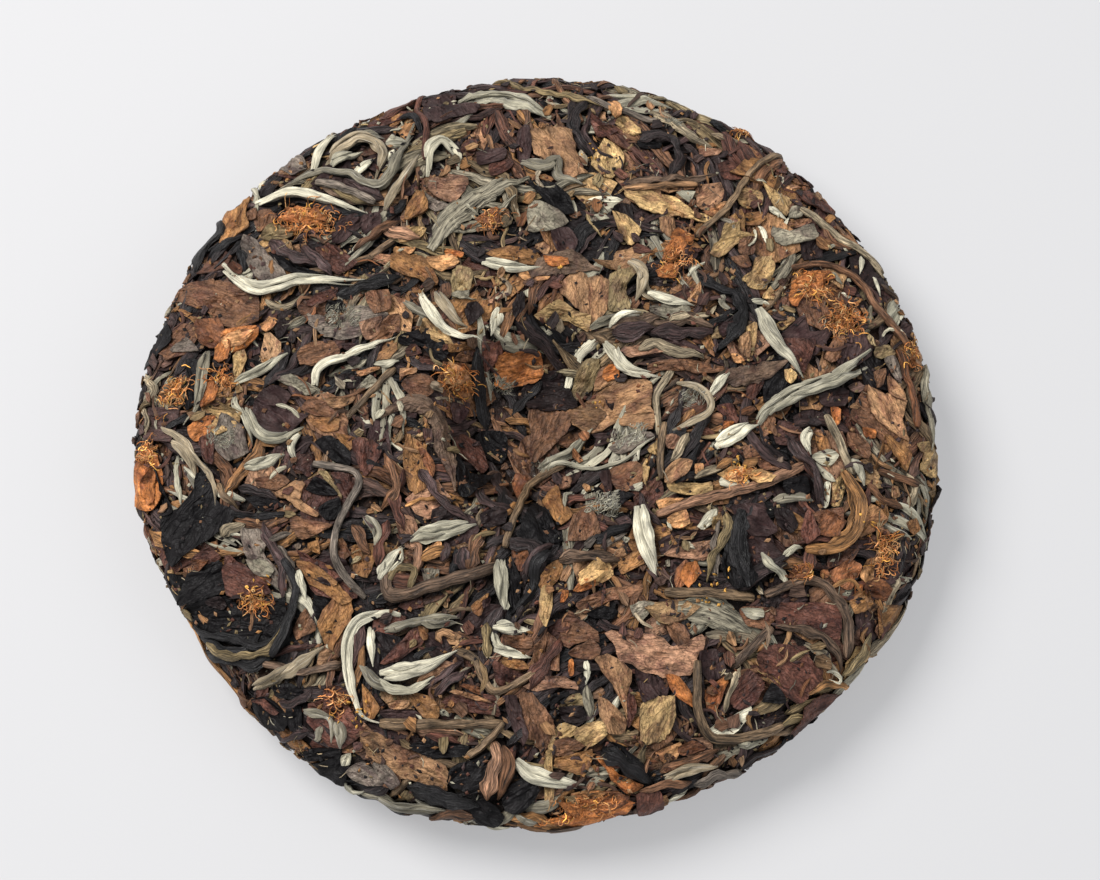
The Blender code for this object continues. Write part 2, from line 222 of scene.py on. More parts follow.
def camera_eye():
    """Where the camera stands, so that the aimed point shows at its pixel."""
    right, up, back = camera_axes()
    across = (PHOTO_SIZE[0] / 2 - AIM_PIXEL[0]) / PIXELS_PER_MM
    over = (AIM_PIXEL[1] - PHOTO_SIZE[1] / 2) / PIXELS_PER_MM
    return np.array(CAMERA_AIM) + back * CAMERA_DISTANCE + right * across + up * over


def from_photo(pixels):
    """Places on the top face that show at these pixels of the photograph, as distances along it."""
    pixels = np.array(pixels, float)
    right, up, back = camera_axes()
    across = (pixels[:, 0] - PHOTO_SIZE[0] / 2) / PIXELS_PER_MM
    over = (PHOTO_SIZE[1] / 2 - pixels[:, 1]) / PIXELS_PER_MM
    eye = camera_eye()
    ray = across[:, None] * right + over[:, None] * up - back * CAMERA_DISTANCE
    z = np.full(len(pixels), WIDEST_HEIGHT + TOP_RISE)
    for _ in range(40):  # closes in on the height at which the ray meets the face
        reach = (z - eye[2]) / ray[:, 2]
        place = eye + ray * reach[:, None]
        a, b = along_face(place[:, 0], place[:, 1])
        z = 0.6 * z + 0.4 * (on_cake(a, b, False)[:, 2] + PILE_FACE)
    return np.stack([a, b], -1)


# ---------------------------------------------------------------- the pile on each face
def flattened(points):
    """The points, with the lowest pressed flat against the table."""
    low = points[:, 2] < STAND_SOFTNESS
    points[low, 2] = STAND_SOFTNESS * np.exp(points[low, 2] / STAND_SOFTNESS - 1)
    return points


class Pile:
    """How high the pieces lie over the core of one face, on a square grid of cells."""

    def __init__(self, reach, base):
        self.reach = reach
        self.base = base
        size = int(2 * reach / MAP_CELL) + 1
        self.height = np.zeros((size, size), np.float32)
        self.mean = None
        self.surroundings = None

    def cells(self, a, b):
        """The rows and columns of the cells at these places."""
        last = self.height.shape[0] - 1
        row = np.clip(((a + self.reach) / MAP_CELL + 0.5).astype(int), 0, last)
        column = np.clip(((b + self.reach) / MAP_CELL + 0.5).astype(int), 0, last)
        return row, column

    def sample(self, a, b):
        """How high the pile is at these places."""
        return self.height[self.cells(a, b)]

    def raise_to(self, a, b, height):
        """Make the pile at least so high at these places."""
        row, column = self.cells(a, b)
        np.maximum.at(self.height, (row.ravel(), column.ravel()), height.ravel().astype(np.float32))

    def blurred(self, window):
        """The height map, blurred over so many millimetres."""
        size = self.height.shape[0]
        pad = int(3 * window / MAP_CELL)
        padded = np.pad(self.height, pad, mode="edge")
        wave = np.fft.fftfreq(size + 2 * pad)
        half_wave = np.fft.rfftfreq(size + 2 * pad)
        spread = -2 * (math.pi * window / MAP_CELL) ** 2
        soften = np.exp(spread * (wave[:, None] ** 2 + half_wave[None, :] ** 2))
        smooth = np.fft.irfft2(np.fft.rfft2(padded) * soften, s=padded.shape)
        return smooth[pad:pad + size, pad:pad + size]

    def settle(self):
        """Smooth the finished pile, which the press levels, and note what lies deep, for the painted shade
        between pieces.
        """
        self.mean = self.blurred(PRESS_WINDOW)
        self.surroundings = self.blurred(SHADE_WINDOW)

    def hollow(self, a, b, height):
        """0 where a point is open to the light, 1 deep between or under other pieces."""
        over = self.surroundings[self.cells(a, b)] - height
        return smooth_step((over - SHADE_STARTS) / (SHADE_FULL - SHADE_STARTS))

    def mean_at(self, a, b):
        """The smoothed pile's height, read between cells."""
        last = self.mean.shape[0] - 2
        row = np.clip((a + self.reach) / MAP_CELL, 0, last)
        column = np.clip((b + self.reach) / MAP_CELL, 0, last)
        r0, c0 = row.astype(int), column.astype(int)
        fr, fc = row - r0, column - c0
        near = self.mean[r0, c0] * (1 - fc) + self.mean[r0, c0 + 1] * fc
        far = self.mean[r0 + 1, c0] * (1 - fc) + self.mean[r0 + 1, c0 + 1] * fc
        return near * (1 - fr) + far * fr

    def pressed(self, a, b, height):
        """Height over the core after pressing; what lay above still lies above."""
        over = height - self.mean_at(a, b)
        return PILE_FACE + PRESS_LIMIT * np.tanh(over / PRESS_LIMIT)

    def places(self, a, b, height):
        """Final points in millimetres, flattened where the cake stands."""
        lift = self.pressed(a, b, height)
        points = on_cake(a, b, self.base) + outward(a, b, self.base) * lift[:, None]
        return flattened(points)


# ---------------------------------------------------------------- collecting pieces of one kind
class Kind:
    """All pieces of one kind, which become one object with one material."""

    def __init__(self, name):
        self.name = name
        self.pieces = []

    def add(self, pile, points, faces, tint, grain, uv, uv_faces):
        """One piece: points (a, b, height), triangles, colour, grain place in mm and a flat map in mm."""
        if pile.base:  # the base's chart is a mirror image
            faces = faces[:, ::-1]
            uv_faces = uv_faces[:, ::-1]
        low = uv.min(0)
        tints = np.broadcast_to(tint, (len(points), 3))
        self.pieces.append((pile, points, faces, tints, grain, (uv - low)[uv_faces], uv.max(0) - low))

    def drop_hidden(self):
        """Leave out the pieces that lie wholly under others."""
        self.pieces = [piece for piece in self.pieces if shown(piece[0], piece[1]) > SHOWN_LEAST]

    def joined(self):
        """The pieces' points, heaps, faces, tints, grains, flat maps and map sizes, each as one list."""
        piles, points, faces, tints, grains, uvs, tiles = zip(*self.pieces)
        starts = np.cumsum([0] + [len(p) for p in points[:-1]])
        faces = np.concatenate([f + start for f, start in zip(faces, starts)])
        return list(zip(piles, points)), faces, np.concatenate(tints), np.concatenate(grains), uvs, tiles


SHOWN_DEPTH = 0.25  # mm under the pile's surface at which a point still counts as seen
SHOWN_LEAST = 0.03  # share of its points that a piece must show
FLAT_MAP_GAP = 0.6  # mm left free between pieces in a flat map


def shown(pile, points):
    """The share of a piece's points that are not under another piece."""
    return float(np.mean(points[:, 2] > pile.sample(points[:, 0], points[:, 1]) - SHOWN_DEPTH))


def tile_places(tiles):
    """Lower-left corners for rectangles packed in rows, and the size of the square that holds them."""
    gap = FLAT_MAP_GAP
    tiles = np.array(tiles) + gap
    side = math.sqrt((tiles[:, 0] * tiles[:, 1]).sum()) * 1.04
    side = max(side, tiles[:, 0].max() + gap)
    corners = np.zeros_like(tiles)
    x = y = row = 0.0
    for k in np.argsort(-tiles[:, 1], kind="stable"):
        if x + tiles[k, 0] > side:
            x, y, row = 0.0, y + row, 0.0
        corners[k] = (x, y)
        x += tiles[k, 0]
        row = max(row, tiles[k, 1])
    return corners + gap / 2, max(side, y + row)


def keep_values(mesh, name, data_type, field, values):
    """Give each of the mesh's points a value, for its material."""
    layer = mesh.attributes.new(name, data_type, "POINT")
    layer.data.foreach_set(field, values.astype(np.float32).ravel())


def placed(name, data):
    """A new object in the scene."""
    result = bpy.data.objects.new(name, data)
    bpy.context.scene.collection.objects.link(result)
    return result


def make_object(kind, sharp_angle):
    """The kind's pieces as one mesh object, with its colour, grain and flat map."""
    heaps, faces, colours, grains, uvs, tiles = kind.joined()
    points = np.concatenate([pile.places(*p.T) for pile, p in heaps])
    # how deep each point lies among other pieces, kept for the painted shade of the gaps
    hollow = np.concatenate([pile.hollow(*p.T) for pile, p in heaps])
    mesh = bpy.data.meshes.new(kind.name)
    mesh.vertices.add(len(points))
    mesh.vertices.foreach_set("co", (points * MM).astype(np.float32).ravel())
    mesh.loops.add(faces.size)
    mesh.loops.foreach_set("vertex_index", faces.astype(np.int32).ravel())
    mesh.polygons.add(len(faces))
    mesh.polygons.foreach_set("loop_start", np.arange(0, faces.size, 3, dtype=np.int32))
    mesh.polygons.foreach_set("use_smooth", np.ones(len(faces), bool))
    mesh.update(calc_edges=True)
    colours = np.concatenate([colours, np.ones((len(colours), 1))], 1)
    keep_values(mesh, "tint", "FLOAT_COLOR", "color", colours)
    keep_values(mesh, "grain", "FLOAT_VECTOR", "vector", grains)
    keep_values(mesh, "painted_gap_shade", "FLOAT", "value", hollow)
    corners, side = tile_places(tiles)
    uv = np.concatenate([(u + c) / side for u, c in zip(uvs, corners)])
    layer = mesh.uv_layers.new(name="OFBake")
    layer.uv.foreach_set("vector", uv.astype(np.float32).ravel())
    mesh.set_sharp_from_angle(angle=math.radians(sharp_angle))
    return placed(kind.name, mesh)


# ---------------------------------------------------------------- routes and waves
def curve(p0, p1, p2, p3, t):
    """A soft curve from p1 to p2 that heads on from p0 and toward p3."""
    return 0.5 * (2 * p1 + (p2 - p0) * t + (2 * p0 - 5 * p1 + 4 * p2 - p3) * t ** 2
                  + (3 * p1 - p0 - 3 * p2 + p3) * t ** 3)


def soft_route(points, step):
    """Points a step apart along a soft curve through the given ones."""
    points = np.asarray(points, float)
    ends = np.vstack([2 * points[0] - points[1], points, 2 * points[-1] - points[-2]])
    t = np.linspace(0, 1, 12, endpoint=False)[:, None]
    fine = [curve(*four, t) for four in zip(ends, ends[1:], ends[2:], ends[3:])]
    fine = np.vstack(fine + [points[-1:]])
    run = np.concatenate(([0.0], np.cumsum(np.linalg.norm(np.diff(fine, axis=0), axis=1))))
    count = max(3, int(round(run[-1] / step)))
    stops = np.linspace(0, run[-1], count + 1)
    return np.stack([np.interp(stops, run, fine[:, k]) for k in (0, 1)], -1), run[-1]


def directions(heading):
    """The directions ahead and to the left of a heading."""
    ahead = np.array([math.cos(heading), math.sin(heading)])
    return ahead, np.array([-ahead[1], ahead[0]])


def arc_route(middle, heading, length, bend):
    """Three points of a bowed line: its middle, direction, length and turn in radians."""
    ahead, side = directions(heading)
    bow = side * length * bend / 8
    return [middle - ahead * length / 2 - bow, middle + bow, middle + ahead * length / 2 - bow]


def walk(start, headings, stride):
    """A path from a start, one stride along each heading in turn."""
    return start + np.cumsum(np.stack([np.cos(headings), np.sin(headings)], -1) * stride, 0)


def between(values, places):
    """A row of points or directions, read at places that may lie between two of them."""
    index = np.arange(len(values))
    return np.stack([np.interp(places, index, values[:, k]) for k in range(values.shape[1])], -1)


def sides_of(route):
    """Directions to the left of a route at each of its points."""
    ahead = np.gradient(route, axis=0)
    ahead /= np.maximum(np.linalg.norm(ahead, axis=1, keepdims=True), 1e-9)
    return np.stack([-ahead[:, 1], ahead[:, 0]], -1)


def waves(draw, places, lengths, creased=False):
    """A wavy field of about unit size over places in mm, from a few seeded plane waves."""
    total = np.zeros(places.shape[:-1])
    for length in lengths:
        angle = draw.uniform(0, 2 * math.pi)
        turn = 2 * math.pi / length
        phase = places[..., 0] * math.cos(angle) * turn + places[..., 1] * math.sin(angle) * turn
        wave = np.sin(phase + draw.uniform(0, 2 * math.pi))
        total += 1 - 2.2 * np.abs(wave) if creased else wave
    return total / math.sqrt(len(lengths))


def smooth_line(values, times):
    """The values, each averaged with its neighbours so many times."""
    for _ in range(times):
        padded = np.concatenate((values[:1], values, values[-1:]))
        values = (padded[:-2] + 2 * padded[1:-1] + padded[2:]) / 4
    return values


# ---------------------------------------------------------------- rods: buds, rolled leaves, stems
# Each form: sides, height as a share of width, lobes as (times round, depth, turns a mm),
# width left at either end, share of the length that an end takes, wobble of the width,
# sideways kinks in mm, passes that smooth its bed
FORMS = {
    "bud": dict(sides=12, flat=0.58, lobes=((2, 0.10, 0.02), (5, 0.06, 0.015), (9, 0.03, 0.01)),
                ends=(0.4, 0.1), tips=(0.3, 0.55), wobble=0.08, kink=0.1, settle=5),
    "hairy": dict(sides=10, flat=0.56, lobes=((2, 0.18, 0.03), (3, 0.14, 0.02), (7, 0.07, 0.02)),
                  ends=(0.35, 0.2), tips=(0.25, 0.4), wobble=0.16, kink=0.2, settle=5),
    "rolled": dict(sides=7, flat=0.62, lobes=((2, 0.22, 0.05), (3, 0.2, 0.04), (5, 0.08, 0.03)),
                   ends=(0.35, 0.2), tips=(0.15, 0.25), wobble=0.24, kink=0.4, settle=5),
    "stem": dict(sides=9, flat=0.84, lobes=((2, 0.08, 0.01), (4, 0.08, 0.01)),
                 ends=(0.8, 0.7), tips=(0.05, 0.05), wobble=0.09, kink=0.2, settle=9),
    "sliver": dict(sides=5, flat=0.45, lobes=((2, 0.2, 0.08),),
                   ends=(0.3, 0.2), tips=(0.25, 0.3), wobble=0.25, kink=0.15, settle=3),
}
SINK = 0.22  # share of its height by which a rod is pressed into its bed
END_DIP = 0.45  # mm that a rod's ends dive
UNDER_SHADE = 0.45  # painted shade on a rod's underside
GRAIN_SPREAD = 900  # mm over which pieces take their grain from, so that no two are alike


def tapered(u, ends, tips, power=1.0):
    """Width along a piece, as a share of its full width, narrowing over its tips to its ends."""
    grow = smooth_step(u / tips[0]) ** power
    fade = smooth_step((1 - u) / tips[1]) ** power
    return np.minimum(ends[0] + (1 - ends[0]) * grow, ends[1] + (1 - ends[1]) * fade)


def rod_bed(pile, route, side, half, passes):
    """How high the pile is along a rod's route, smoothed so many times."""
    count = len(route)
    fine = np.linspace(0, count - 1, count * 3)
    reach = np.array([-0.75, -0.35, 0.0, 0.35, 0.75])[None, :, None]
    fine_half = np.interp(fine, np.arange(count), half)[:, None, None]
    under = between(route, fine)[:, None] + between(side, fine)[:, None] * fine_half * reach
    bed = pile.sample(under[..., 0], under[..., 1])
    bed = 0.6 * bed.max(1) + 0.4 * bed.mean(1)
    return smooth_line(smooth_line(bed, passes * 3)[1::3], 1)


def tube_faces(count, sides):
    """Triangles of a tube of rings with a point at either end, on its points and on its flat map."""
    i, j = np.meshgrid(np.arange(count - 1), np.arange(sides), indexing="ij")
    i, j = i.ravel(), j.ravel()
    here, there = i * sides + j, i * sides + (j + 1) % sides
    wide = sides + 1
    flat = i * wide + j
    k = np.arange(sides)
    after = (k + 1) % sides
    first, last = count * sides, (count - 1) * sides
    tip, last_flat = count * wide, (count - 1) * wide
    faces = np.vstack([np.stack([here, there + sides, here + sides], -1),
                       np.stack([here, there, there + sides], -1),
                       np.stack([k, np.full(sides, first), after], -1),
                       np.stack([last + after, np.full(sides, first + 1), last + k], -1)])
    uv_faces = np.vstack([np.stack([flat, flat + wide + 1, flat + wide], -1),
                          np.stack([flat, flat + 1, flat + wide + 1], -1),
                          np.stack([k, np.full(sides, tip), k + 1], -1),
                          np.stack([last_flat + k + 1, np.full(sides, tip + 1), last_flat + k], -1)])
    return faces, uv_faces


def cover_rod(pile, route, side, half, tall, level, length, width):
    """Raise the pile to a rod's upper side."""
    run = np.linspace(0, len(route) - 1, max(4, int(length / MAP_CELL * 1.2)))
    mark = np.linspace(-1, 1, max(3, int(width / MAP_CELL * 1.3)))
    index = np.arange(len(route))
    aside = np.interp(run, index, half)[:, None] * mark
    cover = between(route, run)[:, None] + between(side, run)[:, None] * aside[..., None]
    bulge = np.interp(run, index, tall)[:, None] * np.sqrt(1 - 0.97 * mark ** 2)
    pile.raise_to(cover[..., 0], cover[..., 1], np.interp(run, index, level)[:, None] + bulge)


def lay_rod(kind, pile, points, width, tint, draw, form, step=1.6, height=None):
    """Lay one bud, rolled leaf or stem along a route on a face."""
    form = FORMS[form]
    sides = form["sides"]
    route, length = soft_route(points, step)
    count = len(route)
    u = np.linspace(0, 1, count)
    along = np.stack([u * length, u], -1)
    kink = form["kink"] * waves(draw, along, (12.0, 5.0))
    route = route + sides_of(route) * (kink * np.sin(math.pi * u))[:, None]
    side = sides_of(route)
    height = height or width * form["flat"]
    profile = tapered(u, form["ends"], form["tips"], 0.8)
    wobble = 1 + form["wobble"] * waves(draw, along, (9.0, 4.5))
    half = 0.5 * width * profile * wobble
    tall = 0.5 * height * profile ** 0.7
    bed = rod_bed(pile, route, side, half, form["settle"])
    level = bed - SINK * height - END_DIP * np.abs(2 * u - 1) ** 6 + 0.5 * height

    turn = 2 * math.pi * (np.arange(sides) + 0.5) / sides
    lobe = np.ones((count, sides))
    for times, depth, twist in form["lobes"]:
        phase = draw.uniform(0, 2 * math.pi) + u * length * twist * 2 * math.pi
        lobe += depth * np.cos(times * turn[None, :] + phase[:, None])
    lateral = half[:, None] * np.cos(turn) * lobe
    rise = tall[:, None] * np.sin(turn) * lobe
    place = route[:, None] + side[:, None] * lateral[..., None]
    rings = np.concatenate([place, (level[:, None] + rise)[..., None]], -1).reshape(-1, 3)
    caps = np.array([[*route[0], level[0]], [*route[-1], level[-1]]])
    caps[0, :2] -= (route[1] - route[0]) * 0.25
    caps[1, :2] += (route[-1] - route[-2]) * 0.25
    faces, uv_faces = tube_faces(count, sides)

    around = math.pi * (width + height) / 2
    seed = draw.uniform(0, GRAIN_SPREAD)
    across = np.tile(np.stack([np.cos(turn), np.sin(turn)], -1) * width / 2, (count, 1))
    grain = np.concatenate([np.repeat(u * length, sides)[:, None] + seed, across + seed], -1)
    grain = np.vstack([grain, [seed, seed, seed], [seed + length, seed, seed]])
    shades = 1 + 0.13 * waves(draw, along, (11.0, 4.3))
    # painted shade on the lower side of every ring
    shades = shades[:, None] * (1 - UNDER_SHADE * smooth_step(0.3 - np.sin(turn)))
    tint = tint * np.append(shades.ravel(), [shades[0].min(), shades[-1].min()])[:, None]
    uv = np.stack([np.repeat(u * length, sides + 1),
                   np.tile(np.linspace(0, around, sides + 1), count)], -1)
    uv = np.vstack([uv, [-0.4, around / 2], [length + 0.4, around / 2]])
    kind.add(pile, np.vstack([rings, caps]), faces, tint, grain, uv, uv_faces)
    cover_rod(pile, route, side, half, tall, level, length, width)


# ---------------------------------------------------------------- sheets: torn flakes and long leaves
LEAF_THICKNESS = 0.38
TURN_UP = 0.5  # mm by which one side of a leaf lifts off its bed
EDGE_SHADE = 0.72  # painted shade along a leaf's border
RIM_SHADE = 0.5  # and painted shade still deeper on the cut edge and the underside
PLATE_CRUMPLE = 0.45  # mm
RIBBON_CRUMPLE = 0.22
RIBBON_ENDS = (0.35, 0.15)  # width left at either end
RIBBON_TIPS = (0.25, 0.4)  # share of the length that an end takes


def sheet_faces(rows, columns, closed):
    """Triangles of a rows by columns lattice; closed lattices wrap round in their columns."""
    span = columns if closed else columns - 1
    i, j = np.meshgrid(np.arange(rows - 1), np.arange(span), indexing="ij")
    i, j = i.ravel(), j.ravel()
    here, there = i * columns + j, i * columns + (j + 1) % columns
    return np.vstack([np.stack([here, here + columns, there + columns], -1),
                      np.stack([here, there + columns, there], -1)])


def local_bed(pile, place, spacing):
    """The highest of the pile close round each place."""
    bed = pile.sample(place[..., 0], place[..., 1])
    for k in range(6):
        angle = math.pi * k / 3
        near = pile.sample(place[..., 0] + spacing * math.cos(angle),
                           place[..., 1] + spacing * math.sin(angle))
        bed = np.maximum(bed, near)
    return bed


def torn_stops(corners, around):
    """Places along a polygon of so many corners, with one at each corner."""
    shares = np.diff(np.round(np.linspace(0, around, corners + 1))).astype(int)
    return np.concatenate([k + np.arange(share) / share for k, share in enumerate(shares)])


def torn_outline(length, width, corners, around, draw):
    """A broken outline round the origin, with a point at each corner."""
    angles = 2 * math.pi * (np.arange(corners) + draw.uniform(-0.3, 0.3, corners)) / corners
    reach = draw.uniform(0.66, 1.14, corners)
    ring = np.stack([np.cos(angles) * reach * length / 2, np.sin(angles) * reach * width / 2], -1)
    return ragged(ring, around, draw)


def ragged(ring, around, draw, soft=0.0):
    """A polygon's outline as so many points, slightly uneven, with its corners more or less soft."""
    stops = torn_stops(len(ring), around)
    k = stops.astype(int)
    t = (stops - k)[:, None]
    p0, p1, p2, p3 = (ring[(k + shift) % len(ring)] for shift in (-1, 0, 1, 2))
    straight = p1 + (p2 - p1) * t
    outline = straight + (curve(p0, p1, p2, p3, t) - straight) * soft
    size = np.linalg.norm(outline, axis=1).mean()
    return outline + draw.normal(0, min(0.03 * size, 0.22), (around, 2))


def lay_flake(kind, pile, middle, heading, length, width, tint, draw, around, rings, crumple,
              curl=0.0, corners=None, thickness=LEAF_THICKNESS):
    """Lay one torn flake of a given size and heading."""
    corners = corners or int(draw.integers(5, 9))
    outline = torn_outline(length, width, corners, around, draw)
    lay_outline(kind, pile, middle, heading, outline, tint, draw, rings, crumple, curl, thickness)


def lay_outline(kind, pile, middle, heading, outline, tint, draw, rings, crumple, curl, thickness):
    """Lay a crumpled sheet with this outline, pinned down at its border."""
    length, width = np.ptp(outline, axis=0)
    scales = ((np.arange(rings + 1)) / rings) ** 0.9
    scales[0] = 0.12
    flat = outline[None] * scales[:, None, None]
    ahead, side = directions(heading)
    place = middle + flat[..., :1] * ahead + flat[..., 1:] * side
    spacing = min(length, width) / (2 * rings) * 0.45
    bed = local_bed(pile, place, spacing)
    for _ in range(2):
        bed = (np.roll(bed, 1, 1) + 2 * bed + np.roll(bed, -1, 1)) / 4
        inner = np.vstack([bed[:1], bed[:-1]])
        outer = np.vstack([bed[1:], bed[-1:]])
        bed = (inner + 2 * bed + outer) / 4
    size = math.sqrt(length * width)
    shape = 0.6 * waves(draw, flat, (0.9 * size, 0.55 * size))
    shape = shape + 0.55 * waves(draw, flat, (0.8 * size, 0.5 * size), creased=True)
    lift = bed + thickness + crumple * (shape * (1 - 0.5 * scales[:, None] ** 3) + 0.4)
    aside = flat @ directions(draw.uniform(0, 2 * math.pi))[0]
    lift = lift + TURN_UP * smooth_step(2 * aside / max(aside.max(), 0.1) - 1) * min(1.0, size / 8)
    lift = np.maximum(lift, bed + 0.3 * thickness)
    if curl:
        aim = directions(draw.uniform(0, 2 * math.pi))[0]
        beyond = np.maximum(flat @ aim - 0.5 * (flat @ aim).max(), 0)
        bent = np.minimum(beyond / curl, 2.6)
        moved = (curl * np.sin(bent) - beyond)[..., None] * aim
        place = place + moved[..., :1] * ahead + moved[..., 1:] * side
        lift = lift + curl * (1 - np.cos(bent))
    add_sheet(kind, pile, place, lift, flat, tint, draw, thickness)
    if not curl:
        cover_sheet(pile, place, lift, length, width)


def lay_plate(kind, pile, corners, tint, draw):
    """Lay a leaf whose corners are given on the face; its veins run along its length."""
    corners = np.asarray(corners, float)
    middle = corners.mean(0)
    around = corners - middle
    after = np.roll(around, -1, axis=0)
    if (around[:, 0] * after[:, 1] - around[:, 1] * after[:, 0]).sum() < 0:
        around = around[::-1]
    count = max(3 * len(corners), int(np.linalg.norm(after - around, axis=1).sum() / 1.3))
    rings = max(3, int(np.linalg.norm(around, axis=1).mean() / 1.5))
    ahead = np.linalg.eigh(around.T @ around)[1][:, 1]
    around = around @ np.array([ahead, [-ahead[1], ahead[0]]]).T
    outline = ragged(around, min(count, 40), draw, soft=0.6)
    heading = math.atan2(ahead[1], ahead[0])
    lay_outline(kind, pile, middle, heading, outline, tint, draw, min(rings, 6), PLATE_CRUMPLE, 0.0,
                LEAF_THICKNESS)


def add_sheet(kind, pile, place, lift, flat, tint, draw, thickness):
    """Add a ringed sheet: its rings run outward; the first closes on a middle point."""
    rings, around = lift.shape
    top = np.concatenate([place, lift[..., None]], -1)
    middle_top = np.append(place[0].mean(0), lift[0].mean())
    rim = top[-1] - np.array([0, 0, thickness])
    middle_under = np.append(place[0].mean(0), lift.min() - thickness)
    points = np.vstack([top.reshape(-1, 3), rim, middle_top, middle_under])
    count = rings * around
    upper = sheet_faces(rings, around, True)
    k = np.arange(around)
    after = (k + 1) % around
    centre, below = count + around, count + around + 1
    fan = np.stack([k, after, np.full(around, centre)], -1)
    outer, under = count - around + k, count + k
    outer_after, under_after = count - around + after, count + after
    wall = np.vstack([np.stack([outer, under, under_after], -1),
                      np.stack([outer, under_after, outer_after], -1)])
    bottom = np.stack([under_after, under, np.full(around, below)], -1)
    faces = np.vstack([bottom, wall, upper, fan])
    plan = flat.reshape(-1, 2)
    flat_middle = flat[0].mean(0)
    plan = np.vstack([plan, flat[-1] * 1.05, flat_middle, flat_middle])
    cloud = waves(draw, plan, (1.1 * np.ptp(plan[:, 0]) + 2, 0.6 * np.ptp(plan[:, 1]) + 2))
    shades = 1 + 0.14 * cloud
    # painted shade: darker on the border ring, darker still on the cut edge and the underside
    shades[count - around:count] *= EDGE_SHADE
    shades[count:count + around] *= RIM_SHADE
    tint = tint * shades[:, None]
    seed = draw.uniform(0, GRAIN_SPREAD)
    shift = draw.normal(0, 2.0)
    grain = np.concatenate([plan + [seed, shift], np.full((len(plan), 1), seed)], -1)
    kind.add(pile, points, faces, tint, grain, plan, faces)


def cover_sheet(pile, place, lift, length, width):
    """Raise the pile to a ringed sheet."""
    rings, around = lift.shape
    r = np.linspace(0, rings - 1, max(3, int(max(length, width) / 2 / MAP_CELL * 1.2)))
    c = np.linspace(0, around, max(8, int(1.7 * (length + width) / MAP_CELL)), endpoint=False)
    r0 = np.minimum(r.astype(int), rings - 2)
    fr = (r - r0)[:, None]
    c0 = c.astype(int) % around
    c1 = (c0 + 1) % around
    fc = (c - c.astype(int))[None, :]
    values = np.concatenate([place, lift[..., None]], -1)
    fr, fc = fr[..., None], fc[..., None]
    near = values[r0][:, c0] * (1 - fc) + values[r0][:, c1] * fc
    far = values[r0 + 1][:, c0] * (1 - fc) + values[r0 + 1][:, c1] * fc
    mixed = near * (1 - fr) + far * fr
    pile.raise_to(mixed[..., 0], mixed[..., 1], mixed[..., 2])


def strip_faces(rows, columns):
    """Triangles of a strip with an upper side, a lower side and a wall round it."""
    upper = sheet_faces(rows, columns, False)
    size = rows * columns
    border = np.concatenate([np.arange(columns), np.arange(1, rows) * columns + columns - 1,
                             (rows - 1) * columns + np.arange(columns - 2, -1, -1),
                             np.arange(rows - 2, 0, -1) * columns])
    after = np.roll(border, -1)
    wall = np.vstack([np.stack([border, after, after + size], -1),
                      np.stack([border, after + size, border + size], -1)])
    return np.vstack([upper[:, ::-1] + size, wall, upper])


def cover_strip(pile, top, length, width):
    """Raise the pile to a strip's upper side, given as rows and columns of points."""
    rows, columns = top.shape[:2]
    fine_rows = np.linspace(0, rows - 1, int(length / MAP_CELL * 1.2))
    fine_columns = np.linspace(0, columns - 1, max(4, int(width / MAP_CELL * 1.3)))
    stretched = np.stack([between(top[:, column], fine_rows) for column in range(columns)], 1)
    filled = np.stack([between(row, fine_columns) for row in stretched])
    pile.raise_to(filled[..., 0], filled[..., 1], filled[..., 2])


